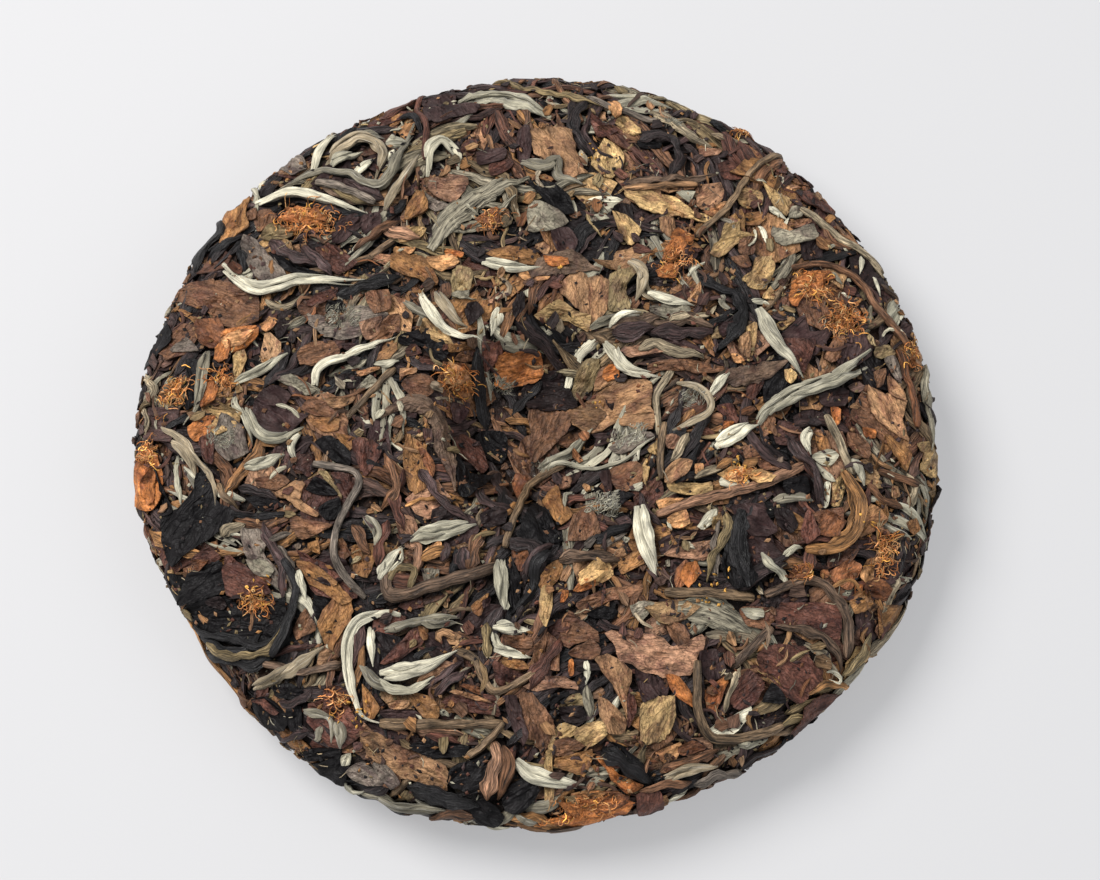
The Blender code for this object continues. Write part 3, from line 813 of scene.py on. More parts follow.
def lay_ribbon(kind, pile, points, width, tint, draw, fold, columns, step, fray=0.0):
    """Lay one long leaf along a route: a folded sheet with a ridge or valley along it."""
    route, length = soft_route(points, step)
    count = len(route)
    u = np.linspace(0, 1, count)
    along = np.stack([u * length, u], -1)
    side = sides_of(route)
    profile = tapered(u, RIBBON_ENDS, RIBBON_TIPS)
    half = 0.5 * width * profile
    v = np.linspace(-1, 1, columns)
    edge = 1 + 0.10 * waves(draw, along, (6.0, 3.1))
    edge_right = 1 + 0.10 * waves(draw, along, (7.0, 2.7))
    reach = np.where(v[None, :] < 0, edge[:, None], edge_right[:, None]) * v
    if fray:
        reach = reach * (1 + fray * draw.uniform(-1, 1, (count, 1)) * (np.abs(v) == 1))
    flat = np.stack([np.broadcast_to((u * length)[:, None], reach.shape), half[:, None] * reach], -1)
    place = route[:, None] + side[:, None] * flat[..., 1:]
    bed = local_bed(pile, place, 0.35)
    for _ in range(2):
        bed = np.apply_along_axis(smooth_line, 0, bed, 1)
        bed = np.apply_along_axis(smooth_line, 1, bed, 1)
    ridge = fold * (1 - np.abs(v - draw.uniform(-0.3, 0.3)) * 1.3)
    hem = draw.choice((-1, 1)) * v
    ridge = np.maximum(ridge, -0.3) + draw.uniform(0, 1.6) * fold * np.maximum(hem - 0.3, 0)
    lift = bed + LEAF_THICKNESS + ridge[None, :] * profile[:, None]
    lift = lift + RIBBON_CRUMPLE * waves(draw, flat, (5.0, 3.2), creased=True)
    lift = np.maximum(lift, bed + 0.3 * LEAF_THICKNESS)
    top = np.concatenate([place, lift[..., None]], -1)
    upper = top.reshape(-1, 3)
    lower = upper - np.array([0, 0, LEAF_THICKNESS])

    plan = flat.reshape(-1, 2)
    shades = 1 + 0.12 * waves(draw, plan, (9.0, 4.0))
    # painted shade: darker along both edges, darker still on the underside
    shades.reshape(count, columns)[:, [0, -1]] *= EDGE_SHADE
    tint = np.concatenate([tint * shades[:, None], tint * shades[:, None] * RIM_SHADE])
    low_plan = plan * [1, 1.06] + np.repeat(0.1 * (2 * u - 1), columns)[:, None] * [1, 0]
    plan = np.vstack([plan, low_plan])
    seed = draw.uniform(0, GRAIN_SPREAD)
    grain = np.concatenate([plan + [seed, 0], np.full((len(plan), 1), seed)], -1)
    faces = strip_faces(count, columns)
    kind.add(pile, np.vstack([upper, lower]), faces, tint, grain, plan, faces)
    cover_strip(pile, top, length, width)


# ---------------------------------------------------------------- threads and crumbs
THREAD_SIDES = 3
CRUMB_SINK = 0.1  # mm by which a crumb is pressed into its bed


def lay_thread(kind, pile, route, lift, thickness, tint, draw):
    """A fine thread, such as a stamen or a hair, along places of a face at heights over the pile."""
    sides = THREAD_SIDES
    count = len(route)
    side = sides_of(route)
    bed = smooth_line(pile.sample(route[:, 0], route[:, 1]), 2)
    level = bed + lift
    turn = 2 * math.pi * (np.arange(sides) + 0.5) / sides
    size = np.full(count, thickness / 2)
    size[-1] *= 0.5
    place = route[:, None] + side[:, None] * (size[:, None] * np.cos(turn))[..., None]
    rise = level[:, None] + size[:, None] * np.sin(turn)
    points = np.concatenate([place, rise[..., None]], -1).reshape(-1, 3)
    k = np.arange(sides)
    last = (count - 1) * sides
    fan = np.array([[0, j, j + 1] for j in range(1, sides - 1)])
    faces = np.vstack([sheet_faces(count, sides, True)[:, ::-1], fan[:, ::-1], fan + last])
    along = np.repeat(np.arange(count) * 1.0, sides)
    plan = np.stack([along, np.tile(k * 0.4, count)], -1)
    seed = draw.uniform(0, GRAIN_SPREAD)
    grain = np.concatenate([plan + [seed, 0], np.full((len(plan), 1), seed)], -1)
    kind.add(pile, points, faces, tint, grain, plan, faces)


OCTAHEDRON = np.array([[1, 0, 0], [0, 1, 0], [-1, 0, 0], [0, -1, 0], [0, 0, 1], [0, 0, -1]], float)
OCTAHEDRON_FACES = np.array([[0, 1, 4], [1, 2, 4], [2, 3, 4], [3, 0, 4],
                             [1, 0, 5], [2, 1, 5], [3, 2, 5], [0, 3, 5]])


def lay_crumbs(kind, pile, places, sizes, tints, draw, flat=0.5):
    """Small angular bits, each an uneven eight-sided grain."""
    count = len(places)
    heights = pile.sample(places[:, 0], places[:, 1])
    turn = draw.uniform(0, 2 * math.pi, count)
    stretch = draw.uniform(0.55, 1.6, (count, 1))
    shape = OCTAHEDRON[None] * (1 + draw.uniform(-0.3, 0.3, (count, 6, 3)))
    x = shape[..., 0] * sizes[:, None] * stretch / 2
    y = shape[..., 1] * sizes[:, None] / stretch / 2
    z = shape[..., 2] * sizes[:, None] * flat / 2
    cos, sin = np.cos(turn)[:, None], np.sin(turn)[:, None]
    points = np.stack([places[:, :1] + x * cos - y * sin, places[:, 1:] + x * sin + y * cos,
                       heights[:, None] + z + (sizes * flat * 0.5 - CRUMB_SINK)[:, None]], -1)
    plan = OCTAHEDRON[:, :2] * 0.5 + OCTAHEDRON[:, 2:] * [0.15, 0.1]
    for k in range(count):
        grain = np.concatenate([plan + turn[k] * 9, np.full((6, 1), turn[k] * 50)], -1)
        kind.add(pile, points[k], OCTAHEDRON_FACES, tints[k], grain, plan, OCTAHEDRON_FACES)


# ---------------------------------------------------------------- strewing pieces at random
def lowest_spot(pile, draw, reach, tries=5):
    """Of some random places within reach, the one where the pile is lowest."""
    away = np.sqrt(draw.uniform(0, reach ** 2, tries))
    angle = draw.uniform(0, 2 * math.pi, tries)
    a, b = away * np.cos(angle), away * np.sin(angle)
    level = sum(pile.sample(a + da, b + db) for da in (-2, 0, 2) for db in (-2, 0, 2))
    best = int(np.argmin(level))
    return np.array([a[best], b[best]])


EDGE_STARTS = 84  # mm from the middle at which pieces start to lie round the cake
EDGE_WIDTH = 16


def drift(place, draw, spread):
    """The way pieces lie here: in loose swirls, and round the cake near its edge."""
    a, b = place
    swirl = 1.9 * math.sin(a / 23 + 0.7) + 1.7 * math.sin(b / 26 + 2.1) + 1.2 * math.sin((a + b) / 19)
    around = math.atan2(b, a) + math.pi / 2
    near_edge = float(smooth_step((math.hypot(a, b) - EDGE_STARTS) / EDGE_WIDTH))
    turned = (around - swirl + math.pi / 2) % math.pi - math.pi / 2
    return swirl + turned * near_edge + draw.normal(0, spread)


def mixed(draw, names, weights=None, vary=0.16):
    """One of the named colours, or between two of them, a little lighter or darker."""
    weights = None if weights is None else np.array(weights) / sum(weights)
    first, second = draw.choice(len(names), 2, p=weights)
    part = draw.uniform(0, 0.5)
    colour = COLOURS[names[first]] * (1 - part) + COLOURS[names[second]] * part
    return colour * math.exp(draw.normal(0, vary))


def near(name, draw, vary):
    """The named colour, a little lighter or darker."""
    return COLOURS[name] * math.exp(draw.normal(0, vary))


def strew_under_leaves(kinds, pile, draw, count, reach):
    """The broad dark leaves that the rest lies on."""
    for _ in range(count):
        spot = lowest_spot(pile, draw, reach)
        tint = mixed(draw, ("dark", "black", "purple", "redbrown", "brown"), (5, 4, 4, 2, 2), 0.2)
        lay_flake(kinds["dark_leaves"], pile, spot, drift(spot, draw, 0.8), draw.uniform(11, 20),
                  draw.uniform(6, 11), tint, draw, around=11, rings=2, crumple=0.45)


# Strewn flakes: the chance up to which each kind is taken, the kind, its colours and how often
# each is taken, and how much lighter or darker a flake may be
FLAKE_SORTS = (
    (0.36, "tan_flakes", ("ochre", "tan", "straw", "pinkish"), (5, 4, 2, 2), 0.16),
    (0.74, "brown_flakes", ("brown", "redbrown", "ochre", "purple", "pinkish"), (4, 4, 2, 2, 1), 0.2),
    (1.00, "dark_leaves", ("purple", "dark", "black"), (4, 3, 3), 0.2),
)
# Strewn bundles: the chance up to which each kind is taken, the kind, its colours and its form
BUNDLE_SORTS = (
    (0.40, "dark_rolls", ("dark", "black", "purple"), "rolled"),
    (0.72, "brown_rolls", ("brown", "redbrown", "ochre", "purple"), "rolled"),
    (0.90, "olive_rolls", ("olive", "grey", "stem"), "rolled"),
    (1.00, "silver_buds", ("silver", "grey", "cream"), "hairy"),
)
CURLED_SHARE = 0.18
RIBBON_SHARE = 0.45  # of a bundle's rolled leaves


def sort_for(chance, sorts):
    """The first sort whose chance isn't passed yet, without that chance."""
    return next(sort[1:] for sort in sorts if chance < sort[0])


def strew_flake(kinds, pile, draw, spot):
    """A brown, tan or dark torn flake."""
    kind, names, weights, vary = sort_for(draw.random(), FLAKE_SORTS)
    length = draw.uniform(6, 17)
    width = length * draw.uniform(0.45, 0.9)
    tint = mixed(draw, names, weights, vary)
    curl = draw.uniform(0.5, 1.1) if draw.random() < CURLED_SHARE else 0.0
    lay_flake(kinds[kind], pile, spot, drift(spot, draw, 0.7), length, width, tint, draw,
              around=15, rings=3, crumple=0.35, curl=curl)


def strew_bundle(kinds, pile, draw, spot):
    """One to four rolled leaves or thin leaf strips that lie alongside each other."""
    heading = drift(spot, draw, 0.45)
    ahead, side = directions(heading)
    kind, names, form = sort_for(draw.random(), BUNDLE_SORTS)
    shift = 0.0
    bend = draw.normal(0, 0.5)
    for _ in range(int(draw.integers(1, 5))):
        width = draw.uniform(1.1, 2.9)
        length = draw.uniform(9, 27)
        middle = spot + side * shift + ahead * draw.normal(0, 3)
        route = arc_route(middle, heading + draw.normal(0, 0.12), length, bend + draw.normal(0, 0.3))
        if draw.random() < RIBBON_SHARE and form == "rolled":
            lay_ribbon(kinds[kind], pile, route, width * 1.5, mixed(draw, names), draw,
                       fold=draw.uniform(0.3, 0.9), columns=5, step=1.8)
        else:
            lay_rod(kinds[kind], pile, route, width, mixed(draw, names), draw, form)
        shift += width * 1.05


def strew_stem(kinds, pile, draw, spot):
    """One bowed leaf stem."""
    route = arc_route(spot, drift(spot, draw, 0.7), draw.uniform(14, 38), draw.normal(0, 0.9))
    tint = mixed(draw, ("stem", "brown", "olive", "redbrown"), (5, 2, 2, 1))
    lay_rod(kinds["stems"], pile, route, draw.uniform(1.2, 2.0), tint, draw, "stem", step=2.0)


FLAKES_UP_TO = 0.46  # the chance up to which a flake is strewn, then a bundle, then a stem
BUNDLES_UP_TO = 0.93


def strew_mixed(kinds, pile, draw, count, reach):
    """Flakes, rolled leaves and stems in mixed order, each where the pile is low."""
    for _ in range(count):
        spot = lowest_spot(pile, draw, reach)
        chance = draw.random()
        if chance < FLAKES_UP_TO:
            strew_flake(kinds, pile, draw, spot)
        elif chance < BUNDLES_UP_TO:
            strew_bundle(kinds, pile, draw, spot)
        else:
            strew_stem(kinds, pile, draw, spot)


SLIVER_SHARE = 0.55  # the rest are torn bits
FULL_TURN = 6.3  # radians


def strew_bits(kinds, pile, draw, count, reach):
    """Slivers and small torn bits that fill the hollows."""
    names = ("brown", "redbrown", "dark", "purple", "ochre", "olive", "tan", "silver", "rust")
    weights = (4, 3, 4, 4, 3, 2, 2, 1.4, 0.5)
    for _ in range(count):
        spot = lowest_spot(pile, draw, reach, tries=4)
        tint = mixed(draw, names, weights, 0.22)
        if draw.random() < SLIVER_SHARE:
            width = draw.uniform(0.5, 1.3)
            route = arc_route(spot, drift(spot, draw, 0.9), draw.uniform(3, 9), draw.normal(0, 0.8))
            lay_rod(kinds["slivers"], pile, route, width, tint, draw, "sliver", step=1.3)
        else:
            length = draw.uniform(2, 5)
            lay_flake(kinds["slivers"], pile, spot, draw.uniform(0, FULL_TURN), length,
                      length * draw.uniform(0.5, 0.9), tint, draw, around=9, rings=2, crumple=0.25)


def strew_crumbs(kinds, pile, draw, count, reach):
    """Dust and crumbs of leaf, most of them in the hollows."""
    names = ("brown", "dark", "ochre", "purple", "tan", "olive", "silver", "rust", "redbrown", "black")
    weights = np.array([4, 4, 3, 3, 1.6, 2, 0.8, 0.5, 3, 3])
    away = reach * np.sqrt(draw.uniform(0, 1, count * 3))
    angle = draw.uniform(0, 2 * math.pi, count * 3)
    places = np.stack([away * np.cos(angle), away * np.sin(angle)], -1)
    hollow = pile.mean_at(places[:, 0], places[:, 1]) - pile.sample(places[:, 0], places[:, 1])
    keep = np.argsort(-hollow - draw.uniform(0, 1.1, len(hollow)), kind="stable")[:count]
    places = places[np.sort(keep)]
    sizes = draw.uniform(0.3, 1.25, count) ** 1.4 + 0.1
    chosen = draw.choice(len(names), count, p=weights / weights.sum())
    tints = np.array([COLOURS[names[k]] for k in chosen]) * np.exp(draw.normal(0, 0.25, (count, 1)))
    lay_crumbs(kinds["crumbs"], pile, places, sizes, tints, draw)


def strew_fibres(kinds, pile, draw, count, reach):
    """Loose fibres of leaf and bud down, most of them in the hollows."""
    names = ("silver", "hay", "straw", "bark", "dark")
    for _ in range(count):
        spot = lowest_spot(pile, draw, reach)
        way = drift(spot, draw, 0.7) + draw.normal(0, 0.3, 4).cumsum()
        path = walk(spot, way, draw.uniform(0.4, 1.4))
        lift = np.array([-0.05, 0.08, 0.08, -0.05])
        lay_thread(kinds["hairs"], pile, path, lift, draw.uniform(0.15, 0.3),
                   mixed(draw, names, (2, 3, 2, 3, 2), 0.25), draw)


# ---------------------------------------------------------------- pieces read off the photograph
# Buds, stems and strips: route in the photograph's pixels, width in mm, colour
PHOTO_BUDS = (
    (((224, 265), (256, 289), (299, 280), (365, 280)), 3.8, "cream"),
    (((257, 206), (290, 194), (330, 200), (365, 212)), 3.8, "cream"),
    (((384, 208), (398, 184), (419, 156)), 3.0, "hay"),
    (((427, 174), (431, 150), (444, 142), (457, 154), (458, 172)), 2.8, "silver"),
    (((522, 160), (545, 166), (556, 160), (560, 176), (582, 184)), 3.0, "grey"),
    (((482, 263), (508, 268), (541, 268)), 3.2, "cream"),
    (((619, 253), (641, 271), (648, 292), (690, 302)), 2.8, "hay"),
    (((757, 309), (772, 337), (804, 376)), 4.2, "cream"),
    (((759, 424), (770, 409), (803, 390), (831, 378), (870, 350)), 3.8, "silver"),
    (((790, 398), (830, 384), (868, 366)), 2.8, "silver"),
    (((716, 446), (740, 432), (759, 424)), 4.2, "cream"),
    (((672, 380), (701, 390), (711, 403), (703, 416), (672, 430)), 2.4, "hay"),
    (((812, 428), (804, 440), (811, 454)), 2.8, "cream"),
    (((637, 506), (644, 543), (659, 584)), 4.6, "cream"),
    (((541, 468), (569, 454), (594, 427)), 2.6, "silver"),
    (((542, 470), (566, 464), (603, 469), (632, 457), (654, 436)), 1.5, "silver"),
    (((410, 538), (440, 532), (476, 524)), 3.8, "silver"),
    (((380, 580), (391, 556), (405, 545)), 3.2, "cream"),
    (((501, 559), (502, 585), (505, 610)), 3.4, "silver"),
    (((207, 349), (204, 374), (197, 404), (184, 425)), 2.4, "grey"),
    (((245, 406), (256, 429), (268, 439), (284, 436), (304, 424)), 2.6, "silver"),
    (((236, 384), (259, 372), (288, 354)), 2.6, "silver"),
    (((313, 384), (318, 368), (350, 354), (399, 334)), 2.8, "cream"),
    (((300, 431), (291, 445), (295, 463)), 2.2, "cream"),
    (((298, 571), (302, 586), (307, 601)), 2.2, "cream"),
    (((400, 614), (385, 612), (359, 621), (347, 646), (351, 685), (362, 715), (385, 724)), 3.2, "cream"),
    (((369, 626), (371, 644), (373, 667)), 2.4, "cream"),
    (((360, 665), (380, 685), (409, 689)), 2.8, "grey"),
    (((380, 673), (425, 667), (457, 650)), 4.2, "cream"),
    (((253, 689), (287, 672), (323, 646)), 3.2, "hay"),
    (((517, 759), (532, 773), (559, 780), (585, 785)), 3.8, "cream"),
    (((404, 300), (420, 312), (440, 322)), 2.2, "grey"),
    (((590, 328), (606, 320), (640, 314)), 2.4, "grey"),
    (((648, 292), (668, 300), (694, 305)), 3.2, "cream"),
    (((605, 340), (622, 362), (650, 376)), 2.2, "silver"),
    (((872, 250), (890, 275), (903, 300)), 2.2, "cream"),
    (((925, 390), (929, 420), (930, 450)), 2.2, "grey"),
    (((458, 100), (505, 95), (549, 112)), 2.4, "silver"),
    (((311, 169), (318, 156), (329, 144), (340, 135)), 2.7, "cream"),
    (((350, 144), (366, 137), (384, 137)), 2.6, "grey"),
    (((766, 207), (782, 215), (789, 219)), 1.7, "cream"),
    (((759, 226), (764, 234), (768, 246)), 1.7, "cream"),
    (((688, 274), (695, 267), (707, 259)), 1.3, "cream"),
    (((751, 301), (764, 301), (772, 305)), 1.6, "cream"),
    (((161, 427), (182, 440), (195, 458), (208, 472), (215, 491), (216, 506)), 1.9, "hay"),
    (((172, 441), (184, 450), (191, 463), (197, 477)), 2.2, "hay"),
    (((175, 454), (175, 472), (179, 490), (182, 506)), 1.8, "silver"),
    (((245, 468), (263, 463), (284, 454)), 3.0, "silver"),
    (((236, 388), (234, 402), (243, 415), (249, 427), (252, 445)), 1.8, "silver"),
    (((374, 363), (388, 365), (399, 361)), 1.8, "silver"),
    (((366, 515), (377, 532), (375, 545)), 2.6, "grey"),
    (((774, 499), (793, 497), (814, 499)), 2.4, "grey"),
    (((762, 552), (770, 566), (783, 573), (787, 587)), 2.2, "silver"),
    (((783, 556), (795, 547), (803, 547)), 1.8, "silver"),
    (((852, 459), (860, 470), (864, 485)), 3.0, "silver"),
    (((665, 778), (684, 770), (717, 765)), 2.4, "hay"),
    (((665, 797), (678, 793), (695, 793)), 2.2, "cream"),
    (((739, 746), (755, 743), (770, 740)), 2.0, "silver"),
    (((827, 673), (833, 671), (841, 677), (837, 682), (829, 679)), 1.3, "cream"),
    (((806, 644), (824, 654), (831, 663), (839, 673)), 1.9, "hay"),
    (((380, 680), (394, 689), (416, 687), (434, 676)), 2.4, "silver"),
    (((384, 628), (416, 621), (439, 616), (460, 616)), 2.6, "grey"),
    (((421, 623), (439, 625), (457, 621)), 2.2, "grey"),
    (((493, 627), (512, 628), (532, 630)), 3.2, "cream"),
    (((494, 650), (512, 653), (532, 657)), 2.4, "cream"),
    (((494, 632), (498, 646), (509, 651)), 1.8, "silver"),
    (((380, 796), (403, 803), (448, 809)), 2.6, "grey"),
    (((516, 812), (526, 816), (537, 818)), 1.8, "grey"),
    (((484, 826), (498, 827), (512, 827)), 1.6, "cream"),
    (((585, 662), (587, 673), (586, 684)), 2.0, "cream"),
    (((303, 712), (319, 714), (332, 721), (332, 742)), 2.0, "grey"),
    (((339, 721), (342, 735), (341, 748)), 2.6, "grey"),
    (((321, 726), (319, 737), (314, 740)), 1.8, "grey"),
    (((346, 781), (353, 789), (366, 789)), 2.2, "cream"),
    (((610, 327), (614, 320), (628, 313), (641, 311)), 1.9, "cream"),
    (((639, 270), (644, 278), (639, 292), (636, 298)), 3.0, "hay"),
    (((719, 297), (725, 304), (732, 308)), 2.0, "grey"),
    (((615, 349), (620, 359), (632, 370), (646, 374), (662, 376)), 2.5, "cream"),
    (((712, 394), (720, 383), (730, 373)), 2.4, "cream"),
    (((330, 139), (336, 133), (343, 129)), 2.4, "hay"),
    (((354, 172), (364, 163), (374, 156)), 2.8, "cream"),
    (((386, 142), (400, 141), (411, 141)), 3.6, "silver"),
    (((385, 159), (391, 152), (396, 147)), 2.2, "cream"),
    (((325, 164), (340, 149), (358, 140), (375, 142), (383, 153), (377, 171), (374, 181)), 3.4, "hay"),
    (((331, 164), (345, 156), (362, 149)), 3.2, "silver"),
    (((291, 183), (306, 174), (322, 169), (340, 171), (351, 172), (360, 180), (372, 186), (383, 183),
      (393, 170), (399, 154), (407, 139), (414, 123)), 3.2, "grey"),
    (((420, 290), (429, 308), (442, 325), (460, 335), (476, 336), (484, 342)), 3.3, "cream"),
    (((435, 290), (445, 306), (456, 321), (467, 326)), 2.6, "hay"),
    (((498, 307), (495, 319), (491, 335)), 3.0, "cream"),
    (((290, 326), (295, 320), (303, 314)), 0.9, "hay"),
    (((873, 277), (876, 286), (881, 296)), 1.3, "cream"),
    (((860, 256), (861, 265), (860, 274)), 1.3, "cream"), (((829, 247), (837, 244)), 1.2, "silver"),
    (((905, 306), (900, 319), (895, 329)), 1.3, "cream"),
    (((853, 305), (859, 317), (866, 325)), 1.3, "cream"),
    (((832, 273), (837, 281), (843, 285)), 1.3, "grey"),
    (((843, 291), (850, 296), (856, 298)), 1.5, "cream"), (((440, 709), (449, 716)), 1.2, "silver"),
    (((565, 508), (567, 497), (578, 491)), 1.5, "silver"),
    (((581, 491), (590, 486), (599, 479)), 1.4, "cream"),
)

PHOTO_STEMS = (
    (((425, 96), (417, 107), (426, 128), (425, 160)), 1.8, "redbrown"),
    (((316, 181), (345, 192), (375, 203)), 2.2, "ash"),
    (((697, 234), (726, 209), (743, 184), (759, 165), (785, 159)), 1.9, "stem"),
    (((791, 267), (824, 265), (860, 282), (877, 307), (906, 347)), 2.0, "brown"),
    (((898, 350), (910, 388), (915, 428)), 2.0, "rust"),
    (((657, 514), (716, 495), (764, 483), (804, 464)), 2.3, "pinkish"),
    (((665, 422), (660, 450), (661, 478)), 1.6, "stem"),
    (((672, 369), (657, 397), (657, 432)), 1.7, "hay"),
    (((826, 415), (843, 451), (854, 474)), 2.0, "hay"),
    (((843, 472), (860, 503), (856, 531), (841, 547), (806, 550)), 2.4, "ochre"),
    (((345, 418), (370, 392), (395, 368)), 1.8, "stem"),
    (((313, 463), (350, 470), (359, 484), (347, 507), (334, 538), (340, 570), (365, 597)), 2.0, "ash"),
    (((505, 547), (516, 513), (528, 491), (544, 475), (566, 463)), 1.9, "stem"),
    (((385, 570), (391, 595), (425, 588), (469, 575), (498, 565)), 3.2, "bark"),
    (((284, 560), (296, 587), (287, 628), (273, 656)), 2.2, "black"),
    (((262, 662), (300, 671), (341, 664)), 2.1, "bark"),
    (((457, 650), (475, 659), (484, 680), (498, 692), (535, 673)), 1.9, "stem"),
    (((380, 723), (440, 724), (503, 723)), 2.3, "stem"),
    (((503, 723), (487, 741), (466, 757)), 1.9, "stem"),
    (((665, 592), (710, 594), (755, 596)), 2.2, "stem"),
    (((766, 594), (803, 581), (824, 585), (843, 610), (848, 636), (847, 657)), 2.3, "bark"),
    (((697, 661), (697, 703), (705, 730), (722, 740), (762, 732), (781, 724)), 2.2, "stem"),
    (((732, 667), (752, 647), (772, 627)), 2.0, "bark"),
    (((748, 398), (745, 425), (762, 452), (790, 470)), 2.2, "purple"),
    (((880, 470), (896, 478), (915, 486)), 2.0, "brown"),
    (((252, 516), (268, 515), (287, 513)), 1.7, "black"),
    (((624, 189), (660, 187), (697, 184)), 1.8, "tan"),
    (((800, 210), (850, 245), (880, 275)), 1.9, "hay"),
    (((590, 100), (620, 112), (660, 120)), 1.9, "ash"),
    (((389, 580), (398, 566), (414, 570), (410, 588)), 1.8, "olive"),
)

